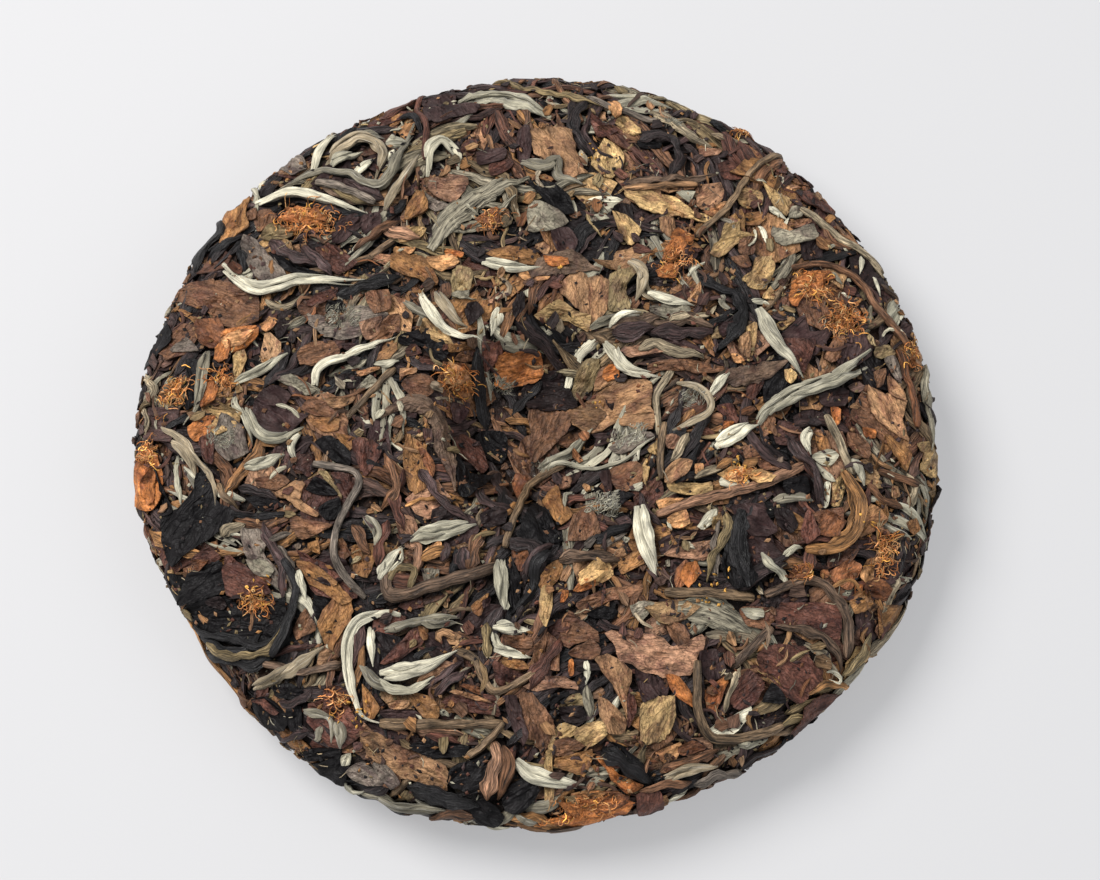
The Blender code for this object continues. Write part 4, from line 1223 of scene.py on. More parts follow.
PHOTO_STRIPS = (
    (((478, 347), (475, 375), (480, 405), (487, 431)), 2.8, "black"),
    (((640, 135), (672, 140), (680, 160), (668, 178)), 3.0, "dark"),
    (((650, 110), (680, 128), (712, 150)), 2.6, "hay"),
    (((200, 655), (250, 660), (280, 640), (292, 600)), 3.0, "black"),
    (((190, 640), (240, 652), (262, 630)), 2.4, "black"),
    (((505, 540), (530, 545), (545, 560)), 3.0, "dark"),
    (((420, 470), (440, 500), (470, 520)), 2.6, "purple"),
    (((404, 470), (396, 500), (404, 530)), 2.4, "redbrown"),
    (((420, 560), (440, 552), (470, 548)), 2.6, "ochre"),
    (((560, 560), (590, 556), (620, 560)), 3.0, "bark"),
    (((720, 520), (714, 548), (716, 580)), 2.0, "ash"),
    (((800, 430), (812, 470), (826, 500)), 2.4, "redbrown"),
    (((603, 750), (630, 765), (653, 785)), 3.6, "black"),
    (((487, 790), (500, 770), (515, 745)), 3.4, "redbrown"),
    (((560, 640), (545, 665), (530, 690)), 3.2, "redbrown"),
    (((270, 240), (300, 260), (330, 262)), 3.0, "purple"),
    (((380, 225), (400, 235), (420, 238)), 2.8, "pinkish"),
    (((541, 381), (526, 399), (512, 416)), 2.0, "black"),
    (((487, 81), (523, 87), (559, 96), (605, 108)), 1.8, "olive"),
    (((380, 121), (407, 106), (425, 94), (448, 89), (476, 83)), 2.7, "redbrown"),
    (((206, 258), (220, 249), (234, 242), (243, 237)), 1.8, "black"),
    (((195, 271), (206, 249), (220, 231), (225, 221)), 2.7, "black"),
    (((238, 248), (243, 262), (245, 272)), 2.0, "black"),
    (((336, 294), (361, 287), (400, 276)), 3.0, "black"),
    (((302, 246), (316, 258), (332, 276)), 2.7, "purple"),
    (((354, 249), (375, 235), (400, 219)), 2.7, "brown"),
    (((318, 180), (343, 192), (370, 201)), 2.2, "purple"),
    (((320, 185), (352, 201), (379, 203)), 2.2, "bark"),
    (((265, 298), (272, 303), (286, 305), (300, 299), (311, 290)), 2.0, "hay"),
    (((868, 261), (879, 274), (891, 288)), 1.6, "hay"),
    (((640, 142), (655, 137), (671, 144)), 2.4, "dark"),
    (((626, 182), (655, 180), (685, 179), (717, 175)), 2.0, "bark"),
    (((822, 226), (839, 244), (875, 257)), 1.7, "brown"),
    (((640, 318), (659, 324), (688, 318), (713, 326)), 2.9, "bark"),
    (((651, 332), (678, 332), (713, 332)), 3.4, "purple"),
    (((640, 349), (659, 345), (678, 353), (703, 357)), 2.9, "hay"),
    (((147, 375), (154, 390), (147, 403)), 1.8, "hay"),
    (((143, 408), (147, 420), (145, 436)), 1.8, "hay"),
    (((191, 413), (179, 424), (165, 429)), 2.0, "black"),
    (((384, 452), (393, 472), (395, 490), (379, 509)), 2.2, "brown"),
    (((238, 486), (256, 491), (277, 499)), 2.0, "dark"),
    (((216, 481), (227, 499), (238, 509)), 1.8, "stem"),
    (((222, 536), (231, 527), (245, 524)), 2.2, "hay"),
    (((272, 543), (286, 558), (293, 579), (295, 600)), 2.4, "ash"),
    (((263, 522), (268, 540), (281, 561), (282, 600)), 2.2, "purple"),
    (((268, 541), (281, 536), (293, 534)), 1.8, "ash"),
    (((352, 525), (361, 540), (370, 554)), 3.0, "brown"),
    (((388, 520), (381, 543), (377, 565)), 2.6, "redbrown"),
    (((231, 515), (256, 515), (284, 513)), 1.8, "black"),
    (((789, 436), (797, 451), (810, 466), (818, 482), (820, 505)), 2.4, "purple"),
    (((640, 491), (648, 512), (663, 526)), 2.0, "purple"),
    (((695, 478), (717, 468), (741, 457)), 2.3, "hay"),
    (((724, 505), (728, 520), (724, 539), (711, 562), (707, 581)), 2.0, "olive"),
    (((868, 485), (885, 501), (902, 508)), 2.6, "brown"),
    (((896, 577), (891, 594), (883, 614)), 2.2, "hay"),
    (((907, 474), (912, 491), (910, 508)), 2.6, "hay"),
    (((688, 434), (682, 449), (671, 461)), 2.2, "hay"),
    (((845, 470), (854, 493), (852, 520), (845, 535), (820, 549)), 2.6, "ochre"),
    (((661, 772), (688, 761), (717, 749)), 2.4, "brown"),
    (((694, 784), (717, 774), (739, 769)), 3.0, "ash"),
    (((640, 790), (665, 784), (690, 780)), 2.2, "brown"),
    (((808, 694), (824, 684), (847, 682)), 1.6, "ochre"),
    (((843, 675), (858, 656), (871, 633)), 3.0, "olive"),
    (((866, 652), (885, 633), (908, 602)), 3.0, "hay"),
    (((774, 625), (803, 631), (827, 642), (841, 661), (841, 673)), 2.1, "bark"),
    (((726, 711), (732, 684), (741, 667)), 1.6, "hay"),
    (((441, 642), (437, 636), (446, 632), (457, 637), (453, 642), (447, 638)), 2.0, "tan"),
    (((494, 741), (496, 760), (487, 800)), 3.2, "pinkish"),
    (((503, 746), (509, 766), (498, 800)), 3.2, "brown"),
    (((407, 787), (434, 792), (462, 801), (480, 805)), 3.4, "black"),
    (((380, 805), (401, 812), (416, 818)), 1.8, "bark"),
    (((430, 816), (451, 812), (476, 814)), 2.4, "brown"),
    (((546, 825), (568, 826), (585, 826)), 1.8, "bark"),
    (((587, 685), (589, 701), (590, 718)), 2.0, "grey"),
    (((416, 730), (441, 732), (466, 735)), 1.6, "pinkish"),
    (((426, 735), (448, 737), (460, 744)), 1.6, "redbrown"),
    (((185, 626), (205, 633), (230, 639), (255, 646), (273, 639), (284, 619)), 2.0, "black"),
    (((209, 642), (230, 655), (255, 656), (273, 648), (285, 621)), 2.0, "olive"),
    (((280, 701), (294, 703), (309, 694), (312, 689)), 2.0, "purple"),
    (((282, 739), (296, 735), (310, 731)), 1.8, "purple"),
    (((360, 790), (385, 798), (410, 808)), 2.0, "grey"),
    (((350, 787), (380, 803), (409, 815)), 1.6, "black"),
    (((184, 617), (192, 637), (207, 660), (223, 683), (241, 705), (260, 724)), 2.0, "ochre"),
    (((610, 328), (623, 324), (641, 320), (660, 317)), 2.6, "bark"),
    (((613, 332), (632, 330), (655, 328)), 3.0, "purple"),
    (((669, 322), (681, 317), (690, 317)), 1.6, "hay"),
    (((698, 273), (713, 286), (733, 295), (743, 308), (742, 324), (726, 341), (713, 352)), 3.2, "black"),
    (((693, 317), (708, 311), (717, 303)), 2.0, "hay"),
    (((442, 561), (448, 552), (445, 541)), 2.2, "purple"),
    (((410, 544), (419, 549), (414, 577)), 3.0, "pinkish"),
    (((456, 548), (458, 561), (451, 577)), 2.6, "black"),
    (((463, 548), (463, 561), (464, 576)), 2.6, "purple"),
    (((481, 534), (475, 547), (471, 558), (470, 572)), 3.0, "brown"),
    (((552, 543), (537, 553), (528, 566), (524, 585)), 2.4, "purple"),
    (((549, 552), (537, 563), (531, 587), (520, 606), (511, 614)), 2.4, "black"),
    (((487, 623), (486, 640), (488, 659)), 2.6, "olive"),
    (((349, 136), (365, 132), (383, 130), (397, 129)), 2.6, "dark"),
    (((399, 118), (409, 116), (418, 121), (421, 131)), 1.8, "black"),
    (((341, 138), (351, 129), (359, 121), (369, 114)), 2.0, "redbrown"),
    (((338, 144), (348, 137), (357, 131)), 2.6, "black"),
    (((330, 186), (344, 194), (358, 198), (369, 203)), 2.6, "olive"),
    (((344, 177), (358, 186), (372, 194), (383, 198)), 3.0, "purple"),
    (((386, 214), (400, 205), (406, 198)), 2.2, "black"),
    (((326, 374), (344, 369), (360, 363), (367, 358)), 1.5, "grey"),
    (((290, 395), (307, 396), (317, 399)), 0.9, "rust"), (((880, 284), (890, 294), (904, 300)), 1.6, "bark"),
    (((423, 688), (443, 675), (463, 661)), 1.9, "purple"),
    (((435, 695), (451, 680), (470, 668)), 2.4, "purple"),
    (((482, 694), (490, 698), (498, 701)), 1.2, "redbrown"),
    (((412, 658), (421, 652), (437, 646)), 1.2, "black"),
    (((593, 541), (610, 533), (630, 524)), 2.4, "black"), (((601, 547), (614, 540), (628, 531)), 1.5, "ash"),
)

# Long folded leaves: route, width in mm, colour, fold in mm
PHOTO_LONG_LEAVES = (
    (((380, 416), (398, 406), (421, 404), (439, 424), (444, 449), (455, 491)), 4.4, "bark", 0.9),
    (((530, 275), (560, 262), (600, 270)), 6.5, "bark", 0.6),
    (((720, 380), (760, 372), (790, 360)), 5.0, "bark", 0.6),
    (((741, 510), (736, 545), (748, 588)), 5.5, "black", 1.2),
    (((678, 606), (712, 612), (751, 632)), 7.5, "grey", 0.5),
    (((458, 100), (490, 98), (520, 104), (551, 116)), 5.4, "silver", 0.9),
    (((443, 239), (451, 230), (475, 224), (494, 214), (516, 198)), 3.1, "grey", 0.5),
    (((430, 250), (452, 218), (486, 194), (530, 176)), 6.2, "grey", 0.9),
)

# Leaves that lie flat: colour, then the corners of each in pixels, x and y in turn
PHOTO_PLATES = (
    # dimple
    ("orange", 498, 354, 516, 350, 539, 352, 543, 366, 541, 379, 528, 384, 505, 389, 494, 386, 494, 374),
    ("tan", 601, 390, 616, 382, 630, 379, 651, 382, 653, 399, 653, 424, 644, 431, 618, 424, 594, 434,
     576, 429, 564, 416, 575, 406),
    ("brown", 528, 413, 550, 410, 566, 413, 571, 427, 559, 441, 548, 452, 532, 463, 530, 434),
    ("olive", 585, 359, 600, 358, 600, 374, 592, 388, 578, 400, 571, 395, 575, 381),
    ("tan", 603, 366, 618, 363, 623, 374, 612, 384, 596, 391, 598, 377),
    ("dark", 526, 400, 551, 386, 569, 388, 578, 404, 566, 411, 544, 411, 528, 409),
    ("black", 480, 431, 505, 434, 507, 456, 501, 463, 487, 461, 473, 443),
    ("redbrown", 453, 438, 464, 434, 480, 450, 487, 468, 480, 474, 469, 463, 455, 452),
    ("black", 451, 449, 469, 472, 491, 479, 480, 491, 466, 497, 457, 491),
    ("ochre", 407, 434, 423, 445, 432, 463, 432, 481, 416, 495, 407, 486, 403, 459),
    ("rust", 418, 449, 426, 450, 435, 466, 432, 479, 425, 466),
    ("pinkish", 396, 515, 414, 518, 419, 534, 416, 550, 405, 545, 398, 531),
    ("dark", 432, 511, 448, 506, 459, 515, 455, 524, 434, 529),
    ("ochre", 423, 552, 439, 541, 442, 552, 432, 559),
    ("dark", 480, 513, 494, 508, 507, 513, 505, 522, 491, 527, 482, 525),
    ("rust", 516, 474, 528, 477, 534, 484, 526, 500, 518, 499, 513, 481),
    ("ochre", 551, 491, 559, 490, 564, 504, 573, 515, 562, 524, 550, 515, 542, 502),
    ("black", 535, 504, 548, 515, 559, 531, 562, 541, 534, 543, 516, 541, 523, 520),
    ("brown", 614, 470, 637, 461, 648, 472, 637, 486, 619, 491, 612, 481),
    ("brown", 573, 516, 591, 509, 601, 531, 594, 538, 568, 541),
    ("apricot", 576, 588, 587, 574, 607, 561, 614, 574, 594, 586),
    ("ochre", 618, 559, 639, 550, 644, 563, 630, 570, 621, 574),
    ("ochre", 546, 566, 559, 559, 564, 570, 553, 584, 546, 599, 539, 584),
    ("brown", 401, 384, 412, 374, 425, 375, 437, 384, 428, 397, 412, 397),
    ("purple", 451, 402, 469, 402, 466, 416, 457, 424, 452, 420),
    # top
    ("purple", 423, 96, 453, 89, 457, 106, 480, 108, 475, 115, 439, 125, 425, 119, 421, 106),
    ("tan", 528, 131, 551, 128, 571, 131, 576, 149, 582, 165, 589, 172, 573, 178, 559, 171, 548, 160,
     534, 153), ("purple", 516, 131, 528, 128, 532, 146, 528, 162, 518, 160),
    ("redbrown", 591, 114, 603, 121, 618, 131, 609, 137, 598, 137, 591, 124),
    ("pinkish", 428, 180, 444, 174, 468, 180, 466, 192, 451, 203, 439, 199, 430, 190),
    ("ash", 423, 192, 439, 201, 450, 206, 435, 212, 425, 203),
    ("ochre", 418, 196, 424, 192, 428, 209, 409, 217, 407, 212),
    ("tan", 471, 228, 487, 215, 503, 208, 509, 212, 503, 224, 487, 230),
    ("ochre", 391, 256, 396, 246, 410, 255, 423, 258, 432, 269, 439, 281, 432, 285, 416, 278, 391, 269),
    ("petal", 401, 246, 416, 248, 410, 256), ("orange", 446, 249, 464, 253, 460, 258, 446, 255),
    ("petal", 426, 260, 450, 255, 459, 262, 442, 272, 432, 269),
    ("straw", 398, 235, 410, 228, 426, 226, 418, 239, 400, 244),
    ("ochre", 485, 255, 510, 246, 537, 251, 544, 262, 519, 265, 498, 262),
    ("petal", 518, 272, 541, 271, 550, 272, 548, 280, 526, 281),
    ("straw", 496, 274, 510, 274, 505, 283, 496, 285),
    ("olive", 453, 271, 460, 265, 473, 272, 471, 287, 464, 294, 453, 299, 451, 283),
    ("tan", 559, 287, 576, 271, 589, 280, 589, 315, 573, 305),
    ("tan", 589, 278, 609, 281, 607, 310, 591, 330, 589, 314),
    ("straw", 534, 315, 559, 299, 576, 310, 591, 315, 589, 330, 569, 321, 544, 322),
    ("olive", 610, 274, 634, 267, 637, 274, 626, 287, 630, 308, 609, 310),
    ("straw", 612, 212, 625, 215, 641, 231, 632, 244, 621, 237),
    ("tan", 625, 189, 641, 185, 660, 190, 660, 212, 644, 208, 626, 199),
    ("grey", 591, 205, 600, 206, 598, 222, 589, 221), ("black", 637, 142, 660, 137, 660, 149, 642, 149),
    ("black", 528, 181, 548, 181, 569, 196, 575, 214, 559, 215, 541, 196),
    ("grey", 530, 201, 550, 206, 568, 222, 551, 231, 528, 231),
    ("purple", 551, 231, 569, 228, 578, 242, 571, 258, 555, 248),
    ("redbrown", 489, 167, 505, 160, 514, 164, 501, 176, 491, 178),
    ("purple", 476, 153, 505, 149, 505, 160, 480, 167),
    # upper left
    ("ochre", 253, 199, 238, 212, 227, 219, 225, 231, 222, 246, 234, 239, 250, 226, 247, 214),
    ("brown", 256, 215, 270, 210, 277, 217, 266, 230, 258, 233, 255, 224),
    ("brown", 248, 214, 258, 210, 258, 221, 250, 222),
    ("olive", 261, 239, 272, 224, 291, 228, 291, 235, 275, 240),
    ("ash", 245, 235, 256, 240, 274, 258, 286, 274, 274, 281, 259, 280, 245, 260, 241, 248),
    ("black", 268, 253, 281, 256, 299, 265, 320, 274, 299, 274, 286, 271),
    ("redbrown", 316, 248, 334, 244, 358, 262, 341, 274, 332, 272, 322, 258),
    ("purple", 341, 219, 358, 214, 361, 226, 345, 242, 332, 244, 334, 231),
    ("purple", 361, 217, 379, 212, 381, 224, 366, 235, 361, 228),
    ("brown", 172, 303, 191, 285, 213, 280, 227, 281, 243, 289, 258, 294, 258, 322, 236, 330, 220, 324,
     206, 310, 188, 305), ("ochre", 179, 310, 195, 314, 209, 319, 225, 330, 222, 340, 197, 339, 195, 324),
    ("redbrown", 306, 306, 316, 294, 338, 287, 332, 298, 316, 305),
    ("ash", 308, 314, 334, 317, 361, 306, 388, 314, 375, 328, 343, 340, 316, 331),
    ("brown", 365, 294, 388, 290, 391, 310, 374, 315), ("pinkish", 359, 324, 382, 317, 379, 333, 366, 340),
    ("dark", 274, 314, 291, 310, 291, 324, 279, 339, 274, 328),
    ("ash", 275, 169, 290, 162, 302, 156, 306, 167, 291, 174),
    # upper right
    ("redbrown", 717, 167, 730, 160, 745, 167, 741, 179, 724, 180),
    ("straw", 625, 192, 646, 191, 669, 195, 685, 204, 699, 213, 715, 216, 711, 223, 699, 221, 685, 216,
     662, 215, 646, 210, 626, 198),
    ("tan", 640, 184, 669, 184, 695, 184, 695, 188, 669, 192, 640, 190),
    ("silver", 676, 194, 695, 192, 690, 202, 697, 207), ("petal", 703, 211, 724, 202, 730, 203, 715, 217),
    ("straw", 738, 192, 749, 188, 762, 192, 762, 205, 749, 207, 739, 202),
    ("ochre", 747, 211, 759, 211, 766, 219, 759, 226, 747, 225, 741, 219),
    ("straw", 724, 226, 738, 223, 741, 232, 757, 236, 739, 244, 722, 257, 709, 253, 720, 238),
    ("straw", 762, 184, 774, 192, 791, 200, 787, 215, 774, 207),
    ("grey", 791, 207, 803, 209, 801, 217, 789, 217),
    ("grey", 772, 228, 789, 232, 812, 226, 818, 238, 801, 244, 782, 246, 772, 238),
    ("brown", 789, 221, 805, 219, 810, 225, 793, 228), ("brown", 739, 242, 755, 238, 753, 255, 739, 255),
    ("brown", 730, 259, 747, 257, 751, 267, 741, 270),
    ("straw", 755, 259, 772, 257, 774, 270, 766, 288, 753, 290, 741, 280, 751, 272),
    ("straw", 770, 286, 774, 290, 774, 299, 762, 297),
    ("orange", 729, 127, 743, 131, 762, 142, 757, 142, 743, 137),
    ("tan", 659, 219, 673, 219, 676, 232, 669, 240, 661, 232),
    ("orange", 669, 240, 678, 228, 694, 236, 690, 244, 676, 246),
    ("petal", 663, 251, 686, 247, 678, 259, 669, 263),
    ("purple", 680, 253, 688, 246, 699, 251, 690, 267, 680, 267),
    ("orange", 789, 299, 793, 282, 808, 272, 829, 272, 833, 280, 812, 282, 805, 290, 797, 307),
    ("petal", 799, 290, 816, 288, 826, 297, 812, 297, 805, 299),
    ("purple", 778, 337, 803, 316, 810, 332, 833, 328, 829, 337, 818, 353, 803, 358, 789, 353),
    ("straw", 776, 324, 791, 316, 795, 320, 782, 330),
    ("straw", 738, 335, 753, 322, 757, 328, 753, 355, 741, 347),
    ("ochre", 697, 142, 713, 142, 717, 146, 699, 150), ("pinkish", 699, 150, 722, 148, 717, 156, 701, 158),
    # left
    ("rust", 197, 331, 197, 320, 220, 320, 225, 331, 220, 345, 206, 347, 199, 340),
    ("ash", 172, 349, 188, 338, 200, 352, 174, 353),
    ("black", 161, 320, 172, 329, 172, 341, 152, 365, 147, 370, 150, 352),
    ("orange", 220, 343, 227, 332, 256, 327, 259, 334, 245, 347, 231, 354),
    ("straw", 234, 356, 245, 350, 247, 361, 238, 381, 234, 377),
    ("dark", 215, 347, 231, 352, 232, 358, 225, 366, 213, 365),
    ("orange", 188, 427, 199, 418, 215, 415, 216, 427, 204, 438, 197, 443, 190, 436),
    ("redbrown", 202, 438, 215, 431, 216, 449, 213, 465, 206, 461, 200, 445),
    ("black", 188, 361, 204, 363, 199, 391, 188, 409, 184, 406, 188, 384),
    ("ash", 222, 413, 243, 425, 247, 452, 229, 461, 216, 449, 216, 431),
    ("orange", 140, 463, 147, 447, 158, 456, 163, 481, 163, 495, 150, 511, 140, 499),
    ("black", 197, 474, 209, 474, 216, 499, 236, 513, 231, 527, 213, 536, 191, 552, 174, 565, 166, 552,
     163, 531, 161, 513, 179, 509, 195, 488),
    ("black", 154, 466, 161, 481, 170, 499, 175, 513, 163, 516, 163, 491),
    ("redbrown", 191, 559, 209, 547, 222, 556, 218, 561, 204, 565, 199, 570),
    ("black", 188, 579, 206, 565, 220, 561, 225, 574, 224, 591, 209, 600, 184, 600),
    ("redbrown", 224, 558, 231, 556, 249, 575, 250, 586, 236, 595, 225, 593),
    ("brown", 299, 352, 316, 341, 334, 341, 340, 356, 325, 365, 309, 366, 299, 363),
    ("purple", 252, 406, 263, 391, 281, 386, 291, 397, 286, 406, 295, 413, 308, 416, 290, 431, 270, 434,
     259, 424), ("grey", 277, 381, 291, 375, 306, 382, 316, 391, 306, 395, 291, 386),
    ("brown", 300, 409, 309, 399, 325, 402, 338, 413, 338, 418, 316, 416),
    ("tan", 325, 399, 352, 395, 354, 400, 341, 409, 331, 408),
    ("ochre", 309, 420, 329, 418, 340, 420, 338, 431, 322, 432),
    ("ochre", 336, 434, 356, 438, 350, 452, 341, 443),
    ("redbrown", 352, 441, 370, 438, 382, 452, 366, 477, 358, 463),
    ("black", 315, 443, 331, 436, 350, 452, 350, 466, 331, 459),
    ("olive", 318, 472, 327, 472, 341, 490, 341, 499, 327, 482),
    ("redbrown", 331, 472, 350, 475, 356, 490, 345, 500),
    ("black", 306, 490, 316, 477, 331, 486, 338, 495, 320, 495),
    ("black", 318, 508, 331, 499, 341, 500, 341, 518, 325, 520),
    ("tan", 275, 493, 295, 481, 306, 484, 300, 499, 318, 513, 316, 518, 297, 509, 288, 500),
    ("brown", 291, 515, 309, 520, 334, 525, 316, 534, 302, 540, 291, 529),
    ("black", 245, 497, 272, 497, 284, 504, 274, 509, 258, 509),
    ("brown", 256, 479, 281, 474, 290, 481, 277, 490, 259, 486),
    ("ochre", 308, 543, 318, 540, 320, 554, 309, 550),
    ("ochre", 354, 545, 374, 543, 374, 559, 368, 579, 356, 574, 350, 558),
    ("redbrown", 297, 550, 313, 558, 334, 570, 358, 593, 349, 600, 316, 595, 304, 575),
    ("ash", 241, 531, 258, 529, 268, 541, 263, 552, 277, 570, 277, 588, 259, 574, 247, 561, 243, 547),
    ("rust", 252, 575, 272, 579, 263, 590),
    # right
    ("redbrown", 774, 340, 815, 340, 808, 363, 805, 373, 793, 363),
    ("black", 764, 363, 782, 355, 793, 369, 801, 378, 805, 384, 785, 394, 764, 405, 762, 378),
    ("straw", 784, 371, 791, 369, 797, 376, 791, 385, 785, 382),
    ("olive", 738, 369, 751, 367, 747, 378, 741, 386, 736, 378),
    ("redbrown", 747, 374, 759, 373, 764, 382, 755, 397, 747, 403),
    ("brown", 736, 395, 747, 401, 757, 409, 747, 415, 736, 407),
    ("redbrown", 717, 405, 732, 403, 739, 417, 736, 424, 724, 426, 722, 415),
    ("orange", 724, 422, 734, 422, 730, 430, 723, 429),
    ("purple", 818, 397, 822, 390, 843, 386, 850, 390, 845, 405, 824, 407),
    ("orange", 831, 407, 841, 409, 839, 424, 833, 426),
    ("tan", 868, 386, 881, 394, 894, 395, 904, 403, 902, 420, 908, 441, 889, 430, 873, 417, 868, 401),
    ("tan", 887, 376, 896, 382, 904, 395, 902, 403, 889, 395),
    ("olive", 875, 348, 887, 346, 894, 355, 881, 359, 874, 355),
    ("ash", 883, 359, 894, 357, 900, 371, 900, 384, 893, 374),
    ("brown", 873, 373, 885, 369, 883, 384, 877, 388),
    ("ochre", 885, 434, 894, 439, 906, 447, 910, 455, 906, 472, 896, 459, 889, 447),
    ("straw", 914, 445, 933, 441, 938, 455, 933, 478, 919, 470, 923, 455),
    ("ochre", 816, 432, 824, 434, 831, 449, 822, 453, 816, 441),
    ("silver", 812, 455, 827, 449, 839, 455, 831, 466, 818, 462),
    ("brown", 847, 432, 860, 434, 870, 447, 868, 459, 854, 451, 847, 443),
    ("orange", 862, 428, 875, 430, 875, 438, 866, 438),
    ("pinkish", 665, 436, 676, 434, 682, 441, 674, 449, 667, 447),
    ("tan", 665, 470, 678, 459, 692, 462, 688, 474, 674, 482, 665, 482),
    ("straw", 667, 482, 697, 482, 711, 482, 711, 493, 692, 495, 671, 491),
    ("brown", 743, 447, 762, 443, 766, 455, 747, 461),
    ("brown", 755, 459, 774, 455, 783, 462, 778, 470, 762, 470),
    ("cream", 720, 478, 736, 470, 747, 478, 749, 487, 734, 489, 720, 485),
    ("petal", 743, 466, 759, 470, 776, 474, 772, 482, 755, 480, 745, 474),
    ("petal", 695, 464, 703, 464, 703, 474, 695, 474),
    ("black", 783, 482, 801, 476, 808, 478, 810, 493, 787, 493),
    ("purple", 732, 505, 762, 503, 766, 512, 778, 531, 762, 537, 743, 531, 736, 518),
    ("dark", 774, 508, 791, 510, 799, 524, 791, 533, 778, 524),
    ("black", 724, 543, 736, 522, 745, 543, 749, 560, 757, 579, 747, 589, 732, 587, 722, 570),
    ("petal", 667, 518, 686, 510, 690, 524, 680, 528, 669, 526),
    ("cream", 697, 527, 707, 512, 717, 508, 717, 518, 705, 529),
    ("straw", 713, 518, 724, 512, 724, 527, 713, 529),
    ("purple", 659, 541, 678, 531, 720, 531, 703, 537, 676, 549, 661, 554),
    ("pinkish", 663, 554, 688, 543, 720, 537, 717, 552, 703, 560, 682, 558),
    ("rust", 676, 568, 686, 560, 690, 570, 688, 581, 678, 589, 674, 581),
    ("brown", 812, 512, 841, 508, 843, 520, 839, 529, 827, 533, 818, 524),
    ("redbrown", 801, 531, 808, 508, 816, 524, 820, 535, 806, 545),
    ("petal", 852, 529, 870, 505, 885, 512, 885, 524, 866, 535, 854, 537),
    ("ochre", 875, 499, 887, 506, 887, 518, 883, 512), ("cream", 824, 483, 831, 483, 829, 505, 824, 506),
    ("straw", 833, 483, 843, 474, 847, 482, 841, 503, 833, 505),
    ("silver", 816, 462, 831, 474, 835, 482, 824, 478),
    ("ochre", 904, 524, 914, 518, 917, 529, 912, 535),
    ("purple", 849, 541, 875, 539, 875, 547, 850, 549),
    ("rust", 829, 573, 843, 562, 850, 558, 862, 566, 856, 581, 849, 591, 837, 585),
    ("petal", 864, 566, 875, 568, 877, 579, 868, 587, 860, 577),
    ("purple", 875, 564, 894, 562, 896, 577, 881, 593, 873, 585),
    ("orange", 854, 585, 862, 585, 860, 596, 854, 593),
    ("petal", 791, 568, 805, 568, 814, 575, 803, 581, 793, 579),
    ("silver", 741, 608, 762, 608, 764, 617, 751, 619),
    # lower right
    ("redbrown", 775, 610, 782, 603, 803, 601, 838, 606, 839, 644, 818, 635, 797, 629, 775, 626),
    ("redbrown", 765, 646, 785, 644, 806, 646, 811, 658, 822, 670, 823, 680, 811, 691, 807, 697, 795, 704,
     785, 695, 777, 678, 760, 666, 758, 656),
    ("redbrown", 751, 663, 762, 667, 775, 680, 787, 692, 785, 697, 770, 686, 755, 672),
    ("black", 762, 698, 772, 682, 782, 694, 783, 703, 762, 702),
    ("redbrown", 730, 694, 747, 669, 762, 679, 764, 686, 755, 703, 736, 709, 730, 702),
    ("pinkish", 604, 632, 629, 631, 652, 635, 671, 645, 685, 648, 701, 634, 705, 645, 697, 658, 697, 669,
     683, 676, 662, 678, 638, 669, 620, 661, 616, 649),
    ("purple", 699, 652, 717, 648, 724, 659, 726, 673, 711, 681, 701, 671),
    ("orange", 665, 675, 680, 677, 694, 698, 692, 707, 674, 694),
    ("straw", 640, 705, 657, 696, 674, 696, 675, 719, 665, 738, 653, 744, 640, 740),
    ("orange", 705, 690, 724, 677, 728, 682, 717, 711, 707, 709),
    ("cream", 707, 730, 720, 721, 751, 707, 747, 719, 732, 734, 711, 735),
    ("petal", 655, 753, 680, 742, 682, 749, 674, 763, 665, 763),
    ("rust", 678, 747, 692, 740, 705, 746, 694, 753, 680, 755),
    ("dark", 659, 598, 673, 600, 676, 615, 663, 614),
    ("brown", 667, 619, 684, 625, 690, 640, 678, 646, 669, 635),
    ("redbrown", 803, 707, 820, 694, 841, 692, 820, 713, 799, 728, 787, 730, 797, 719),
    ("black", 785, 736, 808, 726, 827, 725, 805, 736, 778, 747),
    ("ochre", 640, 803, 665, 791, 663, 801, 640, 811),
    # lower middle
    ("redbrown", 380, 664, 396, 646, 416, 626, 425, 639, 416, 648, 398, 660),
    ("ochre", 418, 626, 428, 628, 428, 639, 423, 641),
    ("redbrown", 442, 701, 453, 694, 480, 698, 498, 705, 498, 716, 469, 712, 446, 705),
    ("ochre", 409, 691, 430, 696, 439, 707, 437, 718, 423, 717, 412, 703),
    ("tan", 387, 701, 409, 700, 407, 707, 392, 710), ("purple", 380, 710, 412, 709, 425, 718, 389, 721),
    ("brown", 519, 694, 532, 694, 548, 712, 555, 726, 551, 739, 542, 755, 534, 741, 526, 737, 521, 714),
    ("purple", 503, 696, 516, 696, 523, 716, 528, 732, 523, 746, 516, 735, 509, 718),
    ("black", 551, 694, 569, 691, 566, 701, 551, 709),
    ("pinkish", 523, 687, 537, 678, 559, 675, 575, 682, 578, 689, 559, 687, 537, 691),
    ("brown", 559, 635, 569, 610, 582, 621, 598, 632, 600, 644, 591, 639, 569, 648, 559, 642),
    ("brown", 569, 651, 591, 639, 601, 648, 598, 659, 585, 660, 571, 657),
    ("brown", 534, 650, 548, 632, 559, 642, 559, 671, 546, 668, 535, 664),
    ("ochre", 503, 657, 523, 660, 530, 669, 516, 669, 503, 666),
    ("redbrown", 494, 660, 505, 666, 526, 675, 516, 682, 500, 687, 494, 676),
    ("brown", 503, 635, 530, 635, 532, 648, 516, 648, 505, 642),
    ("straw", 541, 589, 551, 585, 553, 601, 550, 618, 546, 628, 539, 616),
    ("orange", 573, 591, 582, 580, 596, 580, 594, 587, 582, 591),
